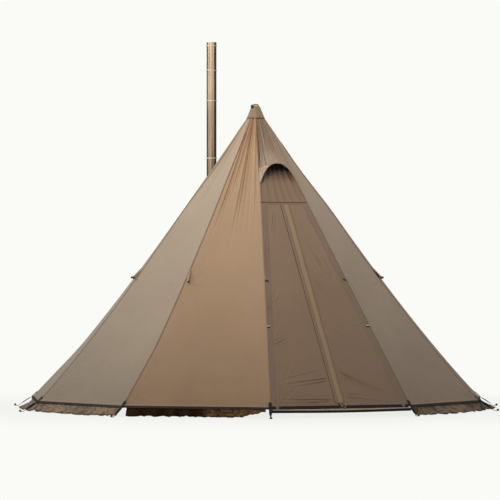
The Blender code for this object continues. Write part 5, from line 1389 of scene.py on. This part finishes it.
# %% Jack patch
JACK_WALL = 5
PIPE_BEARING, PIPE_DISTANCE, PIPE_R = 205.0, 0.850, 0.040
WALL_HOLE_R = 0.055
PATCH_HOLE_R = PIPE_R + 0.0048
JACK_COLUMNS, PATCH_CELLS, PATCH_ROWS = 8, 4, 2
pipe_away = outward(PIPE_BEARING)
pipe_spot = pipe_away * PIPE_DISTANCE
jack_spread = math.radians(CORNER_BEARINGS[JACK_WALL + 1] - CORNER_BEARINGS[JACK_WALL]) / 2
jack_turn = math.radians(PIPE_BEARING - middle_bearing(JACK_WALL))
jack_share = 0.5 + math.tan(jack_turn) / math.tan(jack_spread) / 2
low, high = WALL_FOOT, WALL_TOP
for _ in range(40):
    middle = (low + high) / 2
    spot = wall_point(JACK_WALL, jack_share, middle)
    low, high = (middle, high) if math.hypot(spot[0], spot[1]) > PIPE_DISTANCE else (low, middle)
jack_height = middle

profile = [(WALL_HOLE_R, -0.2), (WALL_HOLE_R, 0.2)]
cutter = lathe("hole_cutter", profile, pipe_spot + UPRIGHT * jack_height, UPRIGHT, CANOPY, 48)
jack_wall = bpy.data.objects[f"wall_cloth_{JACK_WALL}"]
cut = jack_wall.modifiers.new("hole", "BOOLEAN")
cut.operation, cut.solver, cut.object = "DIFFERENCE", "EXACT", cutter
cut_mesh = baked(jack_wall)
jack_wall.modifiers.clear()
jack_wall.data = cut_mesh
bpy.data.objects.remove(cutter)

# The patch is laid out in the wall's own two numbers: share across and height.
middle = np.array((jack_share, jack_height))
first = round(jack_share * JACK_COLUMNS - PATCH_CELLS / 2)
row = round((jack_height - WALL_FOOT) / FACET - PATCH_ROWS / 2)
patch_low = np.array((first / JACK_COLUMNS, WALL_FOOT + row * FACET))
patch_size = np.array((PATCH_CELLS / JACK_COLUMNS, PATCH_ROWS * FACET))
small = 1e-4
base = wall_point(JACK_WALL, *middle)
slopes = [(wall_point(JACK_WALL, *(middle + step)) - base) / small for step in np.eye(2) * small]
turns = circle(96)
to_wall = np.linalg.inv(np.array([way[:2] for way in slopes]).T)
hole = (to_wall @ (PATCH_HOLE_R * np.stack([np.cos(turns), np.sin(turns)]))).T
direction = hole / patch_size
direction = direction / np.abs(direction).max(axis=1, keepdims=True)
edge = patch_low + patch_size / 2 + direction * patch_size / 2
steps = steps_up(26)
rings = (middle + hole) + (edge - middle - hole) * steps[..., None]
rings = np.concatenate([rings, rings[:, :1]], axis=1)
lift = 0.0020 + 0.0010 * bell(steps, 0.03, 0.96) + 0.0016 * bell(steps, 0.06)
grid = wall_point(JACK_WALL, rings[..., 0], rings[..., 1], lift)
faces_out = grid_normals(grid).mean(axis=(0, 1)) @ pipe_away > 0
patch = cloth("jack_cloth", grid if faces_out else grid[:, ::-1], HEAT_CLOTH, 0.0014, "jack", "jack_patch")
wide, tall = (float(np.linalg.norm(way) * size) for way, size in zip(slopes, patch_size))
out = pipe_away * 0.8 + UPRIGHT * 0.6
lines = [(wall_point(JACK_WALL, rings[row, :, 0], rings[row, :, 1], lift), out)
         for row, lift in ((22, 0.0031), (23, 0.0031), (3, 0.0022))]
sewn("jack_stitches", lines, 0.008, (0.0055, 0.0010, 0.0008), "jack")
print(f"the pipe meets the wall {jack_height:.2f} m up")

# %% [markdown]
# ## Pieces that keep their engineering shape
#
# Pole, stove, pipe, toggles and zip slider are hard parts, and their solids are already right.
# They only take their finishes.

# %% Finishes on the carried-over pieces
HARD = {
    TITANIUM: ("stove_pipe", "stove_body", "stove_door"),
    STEEL: ("flue_collar", "stove_stand", "stove_hinge", "air_dial", "damper"),
    ALUMINIUM: ("pole_section_1", "pole_section_2", "pole_section_3"),
    RUBBER: ("pole_foot", "pole_cap", "jack_sleeve"),
    BLACK: ("zip_slider", "zip_pull", "flap_hook"),
    GREY: ("toggle_left", "toggle_right"),
}
for finish, names in HARD.items():
    for name in names:
        for slot in frame["nodes"][name].material_slots:
            slot.material = finish
print(sum(len(names) for names in HARD.values()), "pieces keep their shape")

# %% [markdown]
# The pipe is a rolled sheet, and loose steel rings keep it from unrolling. They are pale, so they
# show as thin lines across it. Each is one oval section that we sweep round a closed circle.

# %% Rings on the pipe
PIPE_TOP, RING_DROPS = 2.950, (0.030, 0.230, 0.478, 0.947)
turns = circle(48)
ring_out = np.stack([np.cos(turns), np.sin(turns), 0 * turns], axis=1)
upright = np.broadcast_to(UPRIGHT, ring_out.shape)
for number, drop in enumerate(RING_DROPS):
    path = pipe_spot + ring_out * (PIPE_R + 0.0020) + upright * (PIPE_TOP - drop)
    ring = swept(f"pipe_ring_{number}", path, upright, ring_out, 0.0040, 0.0011, RING_STEEL, 10, closed=True)
    fit(ring, "titanium")
print(len(RING_DROPS), "rings on the pipe")

# %% [markdown]
# ## Floor, light and background
#
# The photograph was taken against white. The floor glows white for the camera, but still takes
# the soft shadow under the tent. The main light stands high on the left in front, a broad fill
# keeps the right side from going black.

# %% Floor
WHITE = (0.955, 0.96, 0.928, 1.0)
FLOOR_R, FLOOR_LOW = 14.0, -0.0005

finish = Finish("floor", 0.9, specular_ior_level=0.1)
spot, (across, away, _) = finish.place()
finish.done(finish.blend(finish.noise(spot, 3.0, 2.0), (0.40, 0.40, 0.39), (0.46, 0.46, 0.45)))
glow = finish.node("Emission", values={"Color": WHITE, "Strength": 1.0})
distance = (across * across + away * away) ** 0.5
fade = finish.node("MapRange", {"interpolation_type": "SMOOTHSTEP"},
                   {0: distance, 1: 1.6, 2: 4.0, 3: 0.86, 4: 1.0}).outputs[0]
lit = Tone(finish, finish.node("LightPath").outputs["Is Camera Ray"]) * Tone(finish, fade)
mixed = finish.node("MixShader", values={0: lit, 1: finish.shader.outputs[0], 2: glow.outputs[0]})
finish.feed(finish.tree.nodes["Material Output"].inputs["Surface"], mixed.outputs[0])
turns = circle(96)
points = np.stack([FLOOR_R * np.cos(turns), FLOOR_R * np.sin(turns), 0 * turns + FLOOR_LOW], axis=1)
piece_of("floor", points, [list(range(96))], finish.material, smooth=False)
print(f"floor {2 * FLOOR_R:.0f} m wide")

# %% Lights
def area_light(name, bearing, distance, height, size, power, colour):
    """A soft square light that looks at the middle of the tent."""
    data = bpy.data.lights.new(name, "AREA")
    data.size, data.energy, data.color = size, power, colour
    lamp = placed(name, data)
    lamp.location = Vector(outward(bearing) * distance) + Vector((0.0, 0.0, height))
    look = Vector((0.0, 0.0, 1.0)) - lamp.location
    lamp.rotation_euler = look.to_track_quat("-Z", "Y").to_euler()


area_light("key", -24.0, 8.5, 6.4, 3.0, 435.0, (1.0, 0.89, 0.74))
area_light("sky_left", -92.0, 9.0, 6.0, 4.0, 540.0, (0.64, 0.84, 1.0))
area_light("fill", 62.0, 9.0, 6.0, 5.0, 132.0, (0.86, 0.93, 1.0))
area_light("top", 170.0, 6.0, 7.5, 5.0, 160.0, (1.0, 1.0, 1.0))


def dark_screen(first=62.0, last=272.0, distance=9.0, tall=8.0, steps=24):
    """A round black screen behind the tent that only shiny pieces see. It darkens a pipe's edges."""
    low = [outward(bearing) * distance for bearing in np.linspace(first, last, steps)]
    high = [spot + UPRIGHT * tall for spot in low]
    faces = [[i, i + 1, steps + i + 1, steps + i] for i in range(steps - 1)]
    screen = piece_of("dark_screen", low + high, faces, BLACK, smooth=False)
    screen.visible_camera = screen.visible_diffuse = screen.visible_shadow = False
    return screen


dark_screen()

world = bpy.data.worlds.new("studio")
world.use_nodes = True
nodes, link = world.node_tree.nodes, world.node_tree.links.new
background, white = nodes["Background"], nodes.new("ShaderNodeBackground")
for glow, colour, strength in ((background, (0.95, 0.96, 0.97, 1.0), 0.42), (white, WHITE, 1.0)):
    glow.inputs["Color"].default_value = colour
    glow.inputs["Strength"].default_value = strength
rays = nodes.new("ShaderNodeLightPath")
seen = rays.outputs["Is Camera Ray"]
for kind in ("Is Glossy Ray", "Is Transmission Ray"):
    either = nodes.new("ShaderNodeMath")
    either.operation = "MAXIMUM"
    link(seen, either.inputs[0])
    link(rays.outputs[kind], either.inputs[1])
    seen = either.outputs[0]
mix = nodes.new("ShaderNodeMixShader")
for socket, value in zip(mix.inputs, (seen, background.outputs[0], white.outputs[0])):
    link(value, socket)
link(mix.outputs[0], nodes["World Output"].inputs["Surface"])
bpy.context.scene.world = world
bpy.context.scene.view_settings.view_transform = "Standard"
print(len(bpy.data.lights), "lights")
